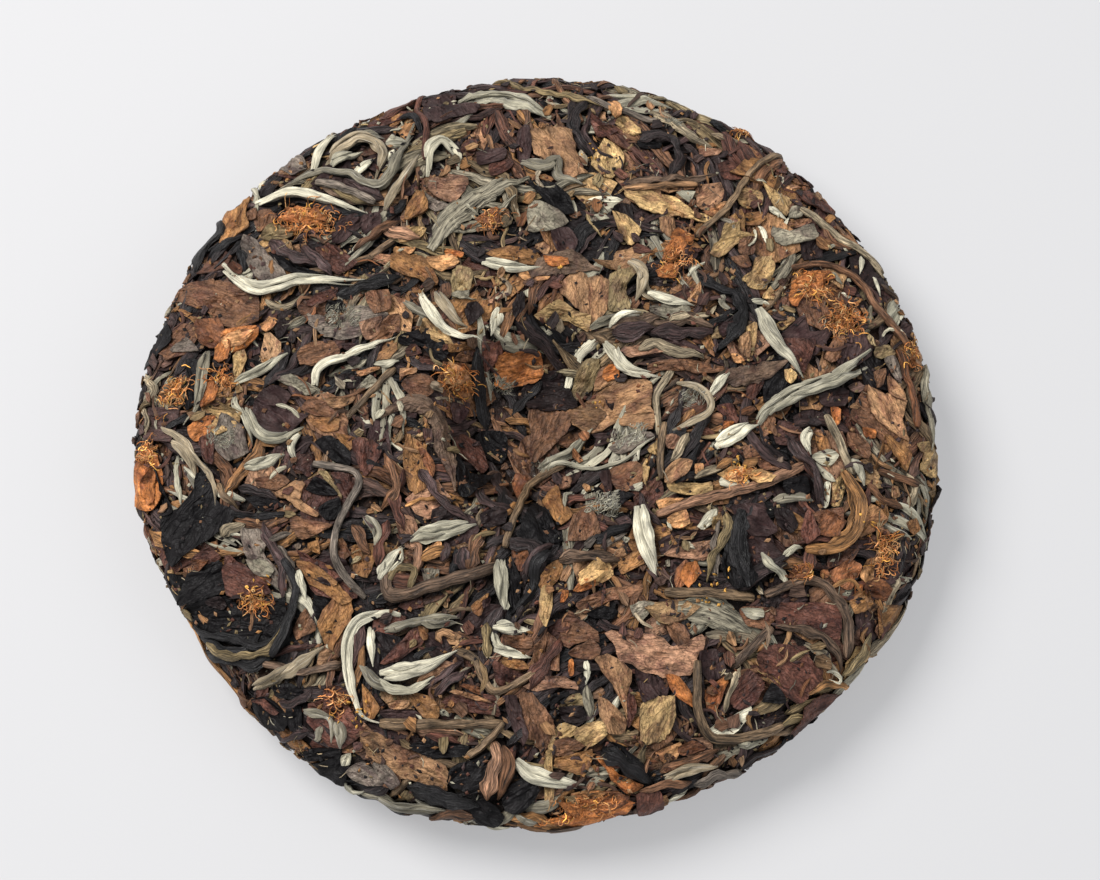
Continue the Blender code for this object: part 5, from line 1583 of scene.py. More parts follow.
    ("orange", 562, 591, 569, 591, 566, 601, 560, 603),
    ("brown", 576, 603, 603, 589, 642, 585, 637, 600, 612, 600, 585, 614),
    ("black", 587, 614, 603, 605, 618, 610, 612, 619, 594, 618),
    ("grey", 630, 607, 644, 601, 655, 603, 642, 621, 634, 616),
    ("tan", 594, 660, 610, 655, 632, 671, 628, 691, 628, 719, 619, 698, 609, 680),
    ("tan", 598, 696, 612, 703, 626, 719, 625, 732, 609, 734, 600, 716),
    ("redbrown", 630, 687, 637, 705, 635, 716, 628, 728, 627, 705),
    ("purple", 635, 669, 660, 680, 660, 694, 644, 703, 639, 691),
    ("olive", 557, 709, 569, 696, 580, 692, 584, 705, 575, 712),
    ("dark", 559, 707, 582, 705, 585, 721, 569, 723, 560, 716),
    ("straw", 559, 723, 573, 725, 582, 730, 569, 737, 557, 739, 551, 755, 548, 746),
    ("straw", 573, 734, 587, 723, 603, 723, 607, 734, 592, 746, 580, 744),
    ("brown", 555, 741, 569, 737, 585, 746, 569, 755, 555, 755),
    ("ochre", 555, 757, 569, 755, 592, 748, 592, 759, 585, 776, 568, 771, 555, 766),
    ("straw", 546, 751, 552, 751, 553, 771, 554, 798, 546, 810, 544, 782),
    ("black", 450, 768, 473, 759, 491, 751, 487, 776, 485, 792, 466, 792, 448, 784),
    ("tan", 361, 731, 377, 732, 390, 741, 414, 750, 432, 758, 450, 771, 447, 789, 432, 788, 416, 781,
     395, 775, 381, 766, 370, 758, 363, 746),
    ("black", 407, 746, 434, 739, 469, 746, 460, 757, 430, 757),
    ("brown", 380, 768, 391, 769, 401, 778, 398, 787, 384, 785),
    ("black", 469, 801, 491, 801, 505, 814, 494, 823, 476, 818),
    ("orange", 537, 819, 551, 816, 569, 812, 594, 805, 612, 796, 630, 800, 626, 809, 603, 816, 578,
     823, 559, 821), ("rust", 600, 792, 618, 791, 630, 800, 618, 801),
    ("ochre", 571, 794, 594, 789, 605, 792, 594, 805, 573, 805),
    ("black", 503, 794, 523, 776, 541, 789, 523, 809, 505, 809),
    ("orange", 596, 757, 603, 757, 619, 773, 644, 785, 630, 794, 618, 787, 609, 775),
    ("black", 603, 744, 614, 741, 639, 759, 650, 773, 646, 784, 630, 773, 607, 755),
    ("redbrown", 635, 794, 648, 789, 660, 789, 660, 801, 637, 810),
    ("orange", 568, 662, 573, 660, 574, 675, 569, 676),
    # lower left
    ("black", 184, 594, 191, 571, 205, 571, 223, 562, 225, 589, 216, 596, 198, 601, 185, 603),
    ("rust", 192, 560, 209, 560, 201, 571, 196, 569),
    ("redbrown", 225, 565, 241, 562, 255, 574, 266, 581, 271, 592, 255, 596, 237, 598, 226, 592),
    ("grey", 246, 560, 266, 560, 275, 571, 269, 578, 255, 574),
    ("black", 184, 621, 191, 603, 205, 599, 225, 596, 234, 601, 246, 606, 269, 612, 284, 596, 284, 619,
     273, 639, 255, 646, 230, 644, 205, 633, 185, 628),
    ("dark", 207, 601, 221, 596, 228, 605, 223, 610, 210, 606),
    ("ochre", 319, 619, 334, 596, 351, 601, 351, 619, 337, 640, 332, 651, 323, 639, 318, 628),
    ("ochre", 296, 560, 319, 565, 344, 590, 353, 599, 341, 605, 323, 592, 305, 578),
    ("brown", 296, 639, 292, 628, 305, 608, 316, 624, 316, 631, 301, 637),
    ("black", 253, 698, 269, 696, 287, 714, 287, 730, 273, 726, 260, 715),
    ("redbrown", 255, 699, 266, 698, 280, 712, 273, 714, 262, 703),
    ("black", 273, 685, 291, 683, 305, 692, 291, 699, 276, 696),
    ("black", 287, 708, 300, 706, 301, 730, 291, 730),
    ("redbrown", 325, 689, 335, 685, 350, 692, 348, 703, 335, 710, 325, 706),
    ("black", 294, 755, 309, 748, 341, 746, 341, 756, 323, 758, 301, 760),
    ("black", 310, 762, 339, 756, 351, 771, 344, 780, 323, 771),
    ("ash", 346, 769, 362, 762, 380, 774, 384, 783, 362, 781),
    ("ash", 371, 762, 387, 765, 401, 781, 392, 787, 378, 774),
    ("silver", 342, 755, 350, 753, 350, 764, 342, 764),
    ("ochre", 364, 715, 362, 683, 380, 706, 376, 715, 369, 721),
    # over the dimple
    ("purple", 653, 338, 672, 337, 690, 341, 704, 349, 704, 353, 690, 350, 672, 344, 655, 341),
    ("pinkish", 622, 349, 635, 344, 658, 343, 664, 350, 662, 354, 631, 356),
    ("pinkish", 676, 349, 686, 347, 699, 355, 689, 359, 677, 357),
    ("brown", 648, 365, 664, 360, 686, 361, 686, 372, 664, 370, 649, 373),
    ("brown", 680, 362, 699, 360, 724, 365, 722, 370, 698, 374, 686, 372),
    ("purple", 667, 323, 690, 320, 713, 324, 711, 332, 690, 334, 672, 331),
    ("grey", 649, 306, 664, 303, 689, 306, 689, 314, 668, 317, 653, 312),
    ("purple", 718, 324, 737, 320, 737, 328, 722, 337), ("tan", 687, 299, 700, 282, 701, 300, 696, 303),
    ("tan", 739, 338, 750, 332, 750, 358, 739, 350), ("petal", 731, 354, 738, 353, 745, 361, 735, 363),
    ("grey", 738, 370, 749, 366, 749, 377, 739, 378),
    # below the dimple
    ("petal", 423, 552, 438, 540, 442, 544, 441, 554, 434, 560, 424, 557),
    ("grey", 423, 568, 439, 569, 437, 582, 427, 586, 423, 577),
    ("rust", 511, 549, 531, 548, 529, 560, 521, 572, 515, 563),
    ("black", 507, 558, 513, 561, 521, 577, 519, 601, 513, 612, 509, 597, 508, 577),
    ("cream", 505, 558, 507, 574, 509, 581, 508, 597, 509, 611, 506, 610, 500, 604, 496, 593, 495, 581,
     502, 572), ("ochre", 471, 606, 484, 596, 489, 593, 481, 615, 475, 615),
    ("purple", 483, 601, 491, 597, 489, 606, 483, 609),
    # round the silver curls at the upper left
    ("redbrown", 373, 121, 379, 114, 400, 111, 414, 111, 411, 115, 393, 122, 379, 128, 369, 130),
    ("silver", 357, 121, 369, 116, 374, 118, 359, 126),
    ("purple", 402, 191, 411, 184, 417, 179, 416, 193, 407, 194),
    ("ochre", 409, 201, 417, 191, 428, 201, 428, 208, 418, 215, 404, 220),
    # beside the dimple
    ("black", 400, 335, 423, 329, 435, 329, 445, 343, 449, 352, 442, 360, 432, 359, 421, 345, 400, 345),
    ("ochre", 447, 345, 460, 341, 476, 344, 476, 350, 460, 351, 449, 352),
    ("brown", 462, 351, 475, 350, 474, 360, 467, 362, 453, 360),
    ("rust", 441, 380, 440, 374, 446, 366, 460, 362, 466, 367, 461, 374, 456, 383, 449, 385),
    ("tan", 400, 369, 416, 368, 417, 373, 404, 376, 400, 381),
    ("redbrown", 483, 339, 497, 343, 497, 357, 491, 367, 484, 371, 482, 353),
    ("dark", 467, 303, 477, 301, 484, 313, 470, 325, 465, 313),
    ("grey", 453, 293, 469, 290, 469, 298, 477, 299, 460, 299, 452, 298),
    ("pinkish", 487, 294, 494, 296, 493, 303, 489, 303),
    # between the left rim and the dimple
    ("brown", 370, 342, 378, 333, 385, 320, 400, 315, 400, 331, 386, 338, 375, 345),
    ("black", 326, 312, 327, 302, 341, 299, 343, 309),
    ("purple", 341, 343, 353, 342, 365, 345, 365, 350, 353, 350, 345, 350),
    ("dark", 335, 377, 348, 373, 360, 377, 361, 384, 351, 388, 338, 387),
    ("tan", 356, 371, 378, 367, 380, 370, 361, 376), ("grey", 356, 389, 370, 375, 379, 382, 365, 389),
    # right rim
    ("silver", 885, 308, 890, 302, 901, 304, 900, 315, 892, 328, 887, 320),
    ("purple", 896, 330, 904, 319, 910, 316, 913, 331, 910, 341, 902, 338),
    ("brown", 834, 337, 844, 336, 842, 350, 835, 362, 824, 358),
    # below the middle
    ("rust", 460, 685, 466, 683, 481, 687, 483, 693, 481, 695, 468, 689),
    ("tan", 449, 692, 456, 689, 473, 694, 485, 698, 493, 703, 476, 700, 460, 695),
    # on the dimple's floor
    ("purple", 594, 435, 617, 428, 620, 436, 617, 441, 596, 447, 596, 439),
    ("ash", 611, 449, 622, 442, 634, 434, 652, 432, 655, 438, 640, 448, 626, 456, 615, 453),
    ("straw", 648, 450, 658, 439, 659, 456, 656, 456),
    ("purple", 600, 475, 612, 472, 613, 486, 610, 493, 605, 490),
    ("black", 610, 496, 622, 490, 635, 494, 628, 499, 621, 506, 615, 510, 606, 506),
    ("black", 594, 487, 603, 490, 606, 506, 598, 500),
    ("petal", 656, 500, 667, 498, 683, 497, 683, 499, 663, 508, 659, 508),
    ("silver", 579, 554, 590, 541, 591, 545, 582, 560), ("silver", 622, 538, 625, 536, 630, 538, 626, 543),
    ("pinkish", 560, 477, 572, 479, 571, 488, 560, 491),
    ("straw", 643, 466, 645, 457, 647, 458, 647, 466, 650, 468, 646, 486, 644, 482),
)

# Tea flowers' stamens: middle in pixels, heading in degrees, length and width in mm, threads
PHOTO_STAMENS = (
    ((306, 220), -10, 18, 9, 120), ((812, 288), -20, 11, 8, 60), ((846, 320), 50, 14, 10, 90),
    ((674, 262), 60, 12, 9, 50), ((222, 378), 80, 7, 6, 30), ((175, 392), 60, 11, 6, 50),
    ((149, 456), 90, 8, 4, 30), ((454, 380), 40, 9, 8, 60), ((886, 548), 80, 8, 6, 45),
    ((802, 574), 10, 5, 3, 15), ((254, 602), -10, 10, 5, 40), ((338, 700), -50, 9, 6, 16),
    ((912, 355), 75, 10, 5, 40), ((880, 570), 30, 7, 5, 12), ((740, 476), 0, 9, 4, 25),
    ((490, 220), 20, 8, 4, 30), ((738, 134), 10, 5, 3, 20), ((585, 806), 12, 20, 4, 50),
)

# Petals and sepals: middle in pixels, heading in degrees, length and width in mm, colour
PHOTO_PETALS = (
    ((616, 111), -60, 7, 4, "petal"), ((631, 128), -40, 10, 3.6, "straw"), ((306, 216), -10, 15, 7, "orange"),
    ((151, 490), 90, 11, 5, "orange"),
    ((238, 340), 20, 9, 5, "petal"), ((268, 325), 60, 6, 4, "petal"), ((224, 350), 60, 7, 5, "orange"),
    ((812, 284), 10, 9, 6, "orange"), ((674, 250), 60, 9, 6, "orange"), ((665, 272), 20, 8, 5, "orange"),
    ((208, 395), 70, 9, 5, "orange"), ((455, 375), 30, 8, 6, "petal"), ((735, 475), 5, 9, 5, "apricot"),
    ((760, 478), 10, 7, 4, "apricot"), ((830, 524), 60, 8, 7, "rust"), ((800, 572), 10, 7, 4, "rust"),
    ((592, 574), 40, 10, 5, "apricot"), ((690, 575), 70, 7, 5, "orange"), ((555, 262), -10, 8, 4, "orange"),
    ((590, 805), 10, 21, 5, "orange"), ((612, 800), 15, 10, 4, "rust"), ((490, 218), 15, 9, 5, "rust"),
    ((875, 590), 0, 8, 6, "rust"), ((612, 372), 0, 5, 4, "orange"),
    ((860, 600), 40, 8, 6, "ochre"),
)

# Spilt yellow pollen grains: middle in pixels, spread in mm, how many
PHOTO_GRAINS = (
    ((716, 587), 4.5, 14), ((354, 712), 4.0, 14), ((560, 265), 2.5, 6), ((740, 468), 4.0, 10),
    ((600, 405), 3.0, 4), ((590, 154), 2.2, 10), ((868, 520), 3.0, 5), ((262, 584), 3.0, 6),
)

# Grey hairy patches: middle in pixels, spread in mm, hairs
PHOTO_FUZZ = (
    ((600, 505), 7.0, 220), ((500, 388), 4.0, 80), ((340, 318), 7.0, 140), ((630, 440), 6.0, 120),
    ((690, 400), 5.0, 70), ((671, 123), 3.0, 40), ((220, 440), 5.0, 90), ((540, 470), 4.0, 60),
)


BUD_STEP = 0.9  # mm between a bud's rings


def lay_bud(kind, pile, route, width, tint, draw, form):
    """A bud of one to three hairy scales, one wrapped along another."""
    lay_rod(kind, pile, route, width * 0.86, tint, draw, form, step=BUD_STEP)
    fine, _ = soft_route(route, BUD_STEP)
    side = sides_of(fine)
    for hand in (draw.choice((-1, 1)), draw.choice((-1, 0, 1))):
        if not hand:
            continue
        first, last = draw.uniform(0.0, 0.2), draw.uniform(0.55, 1.0)
        part = slice(int(first * len(fine)), max(int(last * len(fine)), int(first * len(fine)) + 4))
        scale = fine[part] + side[part] * hand * width * draw.uniform(0.18, 0.34)
        shade = math.exp(draw.normal(-0.12, 0.12))
        lay_rod(kind, pile, scale[::2], width * draw.uniform(0.36, 0.55), tint * shade, draw, form,
                step=BUD_STEP, height=width * 0.3)


# The kind that a piece read off the photograph joins, by its colour
FLAT_KINDS = {
    "black": "dark_leaves", "dark": "dark_leaves", "purple": "dark_leaves",
    "brown": "brown_flakes", "redbrown": "brown_flakes", "pinkish": "brown_flakes", "ash": "brown_flakes",
    "orange": "petals", "rust": "petals", "petal": "petals", "apricot": "petals",
    "silver": "silver_buds", "cream": "silver_buds",
}
LONG_KINDS = {
    "black": "dark_rolls", "dark": "dark_rolls", "purple": "dark_rolls",
    "olive": "olive_rolls", "grey": "olive_rolls", "ash": "olive_rolls", "hay": "olive_rolls",
    "silver": "silver_buds",
}


def lay_photo_pieces(kinds, pile, draw):
    """The pieces that can be told apart in the photograph, the flat ones first."""
    for name, *pixels in PHOTO_PLATES:
        corners = from_photo(list(zip(pixels[::2], pixels[1::2])))
        lay_plate(kinds[FLAT_KINDS.get(name, "tan_flakes")], pile, corners, near(name, draw, 0.13), draw)
    for pixels, width, name, fold in PHOTO_LONG_LEAVES:
        kind = LONG_KINDS.get(name, "tan_flakes")
        lay_ribbon(kinds[kind], pile, from_photo(pixels), width, COLOURS[name], draw, fold=fold,
                   columns=9, step=1.0, fray=0.12)
    for pixels, width, name in PHOTO_STRIPS:
        kind = LONG_KINDS.get(name, "brown_rolls")
        tint = near(name, draw, 0.1)
        lay_rod(kinds[kind], pile, from_photo(pixels), width, tint, draw, "rolled", step=1.2)
    for pixels, width, name in PHOTO_STEMS:
        tint = near(name, draw, 0.08)
        lay_rod(kinds["stems"], pile, from_photo(pixels), width, tint, draw, "stem", step=1.2)
    for pixel, heading, length, width, name in PHOTO_PETALS:
        lay_flake(kinds["petals"], pile, from_photo([pixel])[0], math.radians(heading), length, width,
                  near(name, draw, 0.1), draw, around=20, rings=4, crumple=0.4,
                  curl=0.9, corners=7, thickness=0.28)
    for pixels, width, name in PHOTO_BUDS:
        form = "bud" if name == "cream" else "hairy"
        lay_bud(kinds["silver_buds"], pile, from_photo(pixels), width, near(name, draw, 0.1), draw, form)


THREADS_TO_A_COUNT = 3  # threads laid for each one counted in the photograph
THREAD_POINTS = 7
HAIRS_TO_A_COUNT = 2
HAIR_POINTS = 4
HAIR_STRIDE = 0.45


def lay_stamens(kind, pile, draw, pixel, heading, length, width, threads):
    """A tangle of a flower's stamens."""
    middle = from_photo([pixel])[0]
    turn = math.radians(heading)
    ahead, side = directions(turn)
    for _ in range(threads * THREADS_TO_A_COUNT):
        start = middle + ahead * draw.normal(0, length * 0.2) + side * draw.normal(0, width * 0.2)
        way = turn + draw.normal(0, 1.2)
        bend = draw.normal(0, 0.35)
        steps = (bend + draw.normal(0, 0.35, THREAD_POINTS)).cumsum()
        path = walk(start, way + steps, draw.uniform(0.25, 0.5))
        lift = 0.2 + draw.uniform(0, 0.8) * np.sin(np.linspace(0.3, 2.8, THREAD_POINTS))
        tint = mixed(draw, ("petal", "orange", "rust", "straw", "grain"), (3, 6, 3, 1, 1), 0.35) * 1.3
        lay_thread(kind, pile, path, lift, draw.uniform(0.16, 0.3), tint, draw)


def lay_grains(kind, pile, draw, pixel, spread, count):
    """A few spilt grains of pollen."""
    places = from_photo([pixel])[0] + draw.normal(0, spread / 2, (count, 2))
    tints = np.array([near("grain", draw, 0.2) for _ in range(count)])
    lay_crumbs(kind, pile, places, draw.uniform(0.6, 1.0, count), tints, draw, flat=0.9)


def lay_fuzz(kind, pile, draw, pixel, spread, count):
    """A patch of fine grey hair, combed roughly one way."""
    middle = from_photo([pixel])[0]
    for _ in range(count * HAIRS_TO_A_COUNT):
        start = middle + draw.uniform(-0.6, 0.6, 2) * spread * [1, 0.7]
        way = 0.9 + 0.6 * math.sin(start[0]) + draw.normal(0, 0.3)
        steps = draw.normal(0, 0.22, HAIR_POINTS).cumsum()
        path = walk(start, way + steps, HAIR_STRIDE)
        tint = mixed(draw, ("fuzz", "grey", "silver"), None, 0.3) * 0.85
        lift = np.array([0.0, 0.08, 0.08, 0.0]) + draw.uniform(-0.1, 0.1)
        lay_thread(kind, pile, path, lift, draw.uniform(0.1, 0.2), tint, draw)


def lay_flower_bits(kinds, pile, draw):
    """Tangles of stamens, spilt grains and hairy patches."""
    for row in PHOTO_STAMENS:
        lay_stamens(kinds["stamens"], pile, draw, *row)
    for row in PHOTO_GRAINS:
        lay_grains(kinds["crumbs"], pile, draw, *row)
    for row in PHOTO_FUZZ:
        lay_fuzz(kinds["hairs"], pile, draw, *row)


# ---------------------------------------------------------------- the core
CORE_RING_STEP = 3.4
CORE_SIDES = 140
JOIN_WIDTH = 8.0  # mm past the widest edge over which the two piles' presses blend


def make_core(top, base):
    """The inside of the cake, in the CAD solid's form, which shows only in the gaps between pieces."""
    rings = int(SECTION_LENGTH / CORE_RING_STEP)
    travelled = np.linspace(0, SECTION_LENGTH, rings + 1)[1:-1]
    angle = 2 * math.pi * np.arange(CORE_SIDES) / CORE_SIDES
    t, turn = np.meshgrid(travelled, angle, indexing="ij")
    share = smooth_step((t - WIDEST_TRAVEL) / JOIN_WIDTH + 0.5).ravel()
    a, b = (t * np.cos(turn)).ravel(), (t * np.sin(turn)).ravel()
    back = SECTION_LENGTH - t
    a_base, b_base = (back * np.cos(turn)).ravel(), (back * np.sin(turn)).ravel()
    lift = top.pressed(a, b, 0.0) * (1 - share) + base.pressed(a_base, b_base, 0.0) * share
    upper = share < 0.5
    points = np.where(upper[:, None], on_cake(a, b, False), on_cake(a_base, b_base, True))
    normal = np.where(upper[:, None], outward(a, b, False), outward(a_base, b_base, True))
    points = flattened(points + normal * lift[:, None])
    centre = np.zeros(1)
    poles = [[0, 0, float(on_cake(0.0, 0.0, False)[2] + top.pressed(centre, centre, 0.0)[0])],
             [0, 0, float(on_cake(0.0, 0.0, True)[2] - base.pressed(centre, centre, 0.0)[0])]]
    count = len(points)
    points = np.vstack([points, poles])
    k = np.arange(CORE_SIDES)
    after = (k + 1) % CORE_SIDES
    last = count - CORE_SIDES
    faces = np.vstack([sheet_faces(rings - 1, CORE_SIDES, True),
                       np.stack([k, after, np.full(CORE_SIDES, count)], -1),
                       np.stack([last + after, last + k, np.full(CORE_SIDES, count + 1)], -1)])
    mesh = bpy.data.meshes.new("packed_inside")
    mesh.from_pydata((points * MM).tolist(), [], faces.tolist())
    mesh.polygons.foreach_set("use_smooth", np.ones(len(faces), bool))
    return placed("packed_inside", mesh)


# ---------------------------------------------------------------- materials
DEEP_SHADE = 0.10  # share of its colour that a piece keeps deep between others: painted shade of the gaps


class Shader:
    """A material's node tree, with short names for the few kinds of node used here."""

    MIX_COLOURS = (6, 7)  # the mix node's sockets for colours, which share their names with others
    MIXED_COLOUR = 2

    def __init__(self, name):
        self.material = bpy.data.materials.new(name)
        self.material.use_nodes = True
        self.tree = self.material.node_tree
        self.tree.nodes.clear()
        self.surface = self.tree.nodes.new("ShaderNodeBsdfPrincipled")
        output = self.tree.nodes.new("ShaderNodeOutputMaterial")
        self.tree.links.new(self.surface.outputs[0], output.inputs[0])

    def put(self, socket, value):
        """Set an input to a number or a colour, or link it to a node's output."""
        if hasattr(value, "is_output"):
            self.tree.links.new(value, socket)
        else:
            socket.default_value = value

    def attribute(self, name, output):
        """One of the values that each of the mesh's points has."""
        node = self.tree.nodes.new("ShaderNodeAttribute")
        node.attribute_name = name
        return node.outputs[output]

    def math(self, operation, a, b=0.0):
        """One sum of two values."""
        node = self.tree.nodes.new("ShaderNodeMath")
        node.operation = operation
        self.put(node.inputs[0], a)
        self.put(node.inputs[1], b)
        return node.outputs[0]

    def times(self, vector, factors):
        """A vector, each part of it times its own factor."""
        node = self.tree.nodes.new("ShaderNodeVectorMath")
        node.operation = "MULTIPLY"
        self.put(node.inputs[0], vector)
        node.inputs[1].default_value = factors
        return node.outputs[0]

    def noise(self, vector, stretch, detail=3.0, rough=0.55, twist=0.0):
        """Noise with so many waves a millimetre along each grain axis, about 0 to 1."""
        node = self.tree.nodes.new("ShaderNodeTexNoise")
        self.put(node.inputs["Vector"], self.times(vector, stretch))
        node.inputs["Scale"].default_value = 1.0
        node.inputs["Detail"].default_value = detail
        node.inputs["Roughness"].default_value = rough
        node.inputs["Distortion"].default_value = twist
        return self.spread(node.outputs["Fac"], 0.3, 0.7, 0.0, 1.0)

    def spread(self, value, low, high, to_low, to_high):
        """A value between low and high, brought between two other numbers."""
        node = self.tree.nodes.new("ShaderNodeMapRange")
        self.put(node.inputs["Value"], value)
        for name, number in (("From Min", low), ("From Max", high), ("To Min", to_low), ("To Max", to_high)):
            node.inputs[name].default_value = number
        return node.outputs["Result"]

    def scaled(self, colour, factor):
        """A colour, lighter or darker by a factor."""
        node = self.tree.nodes.new("ShaderNodeVectorMath")
        node.operation = "SCALE"
        self.put(node.inputs[0], colour)
        self.put(node.inputs["Scale"], factor)
        return node.outputs[0]

    def mix(self, factor, first, second, blend="MIX"):
        """So much of a second colour laid over a first."""
        node = self.tree.nodes.new("ShaderNodeMix")
        node.data_type = "RGBA"
        node.blend_type = blend
        self.put(node.inputs[0], factor)
        first_colour, second_colour = (node.inputs[k] for k in self.MIX_COLOURS)
        self.put(first_colour, first)
        self.put(second_colour, second)
        return node.outputs[self.MIXED_COLOUR]

    def bump(self, height, depth):
        """The surface's direction where a height of so many millimetres lies on it."""
        node = self.tree.nodes.new("ShaderNodeBump")
        node.inputs["Strength"].default_value = 1.0
        node.inputs["Distance"].default_value = depth * MM
        self.put(node.inputs["Height"], height)
        return node.outputs[0]

    def lines(self, vector, stretch, width, detail=2.0, twist=0.0):
        """Thin wandering lines, 1 on a line and 0 between: where a stretched noise crosses its middle."""
        field = self.noise(vector, stretch, detail, 0.5, twist)
        return self.spread(self.math("ABSOLUTE", self.math("SUBTRACT", field, 0.5)), 0.0, width, 1.0, 0.0)

    def warped(self, vector, scale, amount):
        """Places moved about by a noise of so many waves a millimetre, by up to so many millimetres."""
        node = self.tree.nodes.new("ShaderNodeTexNoise")
        self.put(node.inputs["Vector"], vector)
        node.inputs["Scale"].default_value = scale
        node.inputs["Detail"].default_value = 2.0
        moved = self.tree.nodes.new("ShaderNodeVectorMath")
        moved.operation = "MULTIPLY_ADD"
        self.put(moved.inputs[0], node.outputs["Color"])
        moved.inputs[1].default_value = (amount, amount, amount)
        self.put(moved.inputs[2], vector)
        return moved.outputs[0]

    def net(self, vector, stretch, width):
        """A net of thin lines, 1 on a line and 0 in its meshes."""
        node = self.tree.nodes.new("ShaderNodeTexVoronoi")
        node.feature = "DISTANCE_TO_EDGE"
        self.put(node.inputs["Vector"], self.times(vector, stretch))
        node.inputs["Scale"].default_value = 1.0
        return self.spread(node.outputs["Distance"], 0.0, width, 1.0, 0.0)

    def finish(self, colour, roughness, normal, specular, sheen=0.0, gain=1.0):
        """Set the surface; the colour is darkened deep between pieces, a painted shade of the gaps."""
        surface = self.surface
        if hasattr(colour, "is_output"):
            # painted shade: darker where a point lies deep between other pieces
            painted_shade_factor = self.spread(self.attribute("painted_gap_shade", "Fac"), 0.0, 1.0, gain, gain * DEEP_SHADE)
            colour = self.scaled(colour, painted_shade_factor)
        self.put(surface.inputs["Base Color"], colour)
        self.put(surface.inputs["Roughness"], roughness)
        if normal is not None:
            self.put(surface.inputs["Normal"], normal)
        surface.inputs["Specular IOR Level"].default_value = specular
        if sheen:
            surface.inputs["Sheen Weight"].default_value = sheen
            surface.inputs["Sheen Roughness"].default_value = 0.4
        return self.material


def fibrous_material(name, fibre=1.4, streak=0.7, depth=0.34, shine=0.5, blotch=0.4, specular=0.35,
                     sheen=0.0, groove=0.6, pale=None, gain=1.45):
    """Rolled leaves, buds and stems: streaks, ridges and dark grooves run along each piece."""
    s = Shader(name)
    grain = s.attribute("grain", "Vector")
    tint = s.attribute("tint", "Color")
    ridges = s.noise(grain, (0.12, fibre, fibre), 4.0, 0.66, 0.3)
    hairs = s.noise(grain, (0.4, fibre * 2.4, fibre * 2.4), 2.0, 0.65)
    grooves = s.lines(grain, (0.08, fibre * 0.6, fibre * 0.6), 0.1, 3.0, 0.35)
    patches = s.noise(grain, (0.2, 0.55, 0.55), 4.0, 0.65)
    shade = s.math("ADD", s.spread(ridges, 0, 1, 1 - streak, 1 + streak * 0.75),
                   s.spread(hairs, 0, 1, -streak * 0.62, streak * 0.62))
    shade = s.math("MULTIPLY", shade, s.spread(patches, 0, 1, 1 - blotch, 1 + blotch * 0.8))
    shade = s.math("MULTIPLY", shade, s.spread(grooves, 0, 1, 1.0, 1.0 - groove))
    colour = s.scaled(tint, shade)
    if pale:
        colour = s.mix(s.spread(ridges, 0.62, 1.0, 0.0, 0.45), colour, pale)
    height = s.math("ADD", ridges, s.math("MULTIPLY", hairs, 0.3))
    height = s.math("SUBTRACT", height, s.math("MULTIPLY", grooves, 0.7))
    normal = s.bump(height, depth)
    roughness = s.spread(ridges, 0, 1, shine + 0.18, shine - 0.08)
    return s.finish(colour, roughness, normal, specular, sheen, gain)


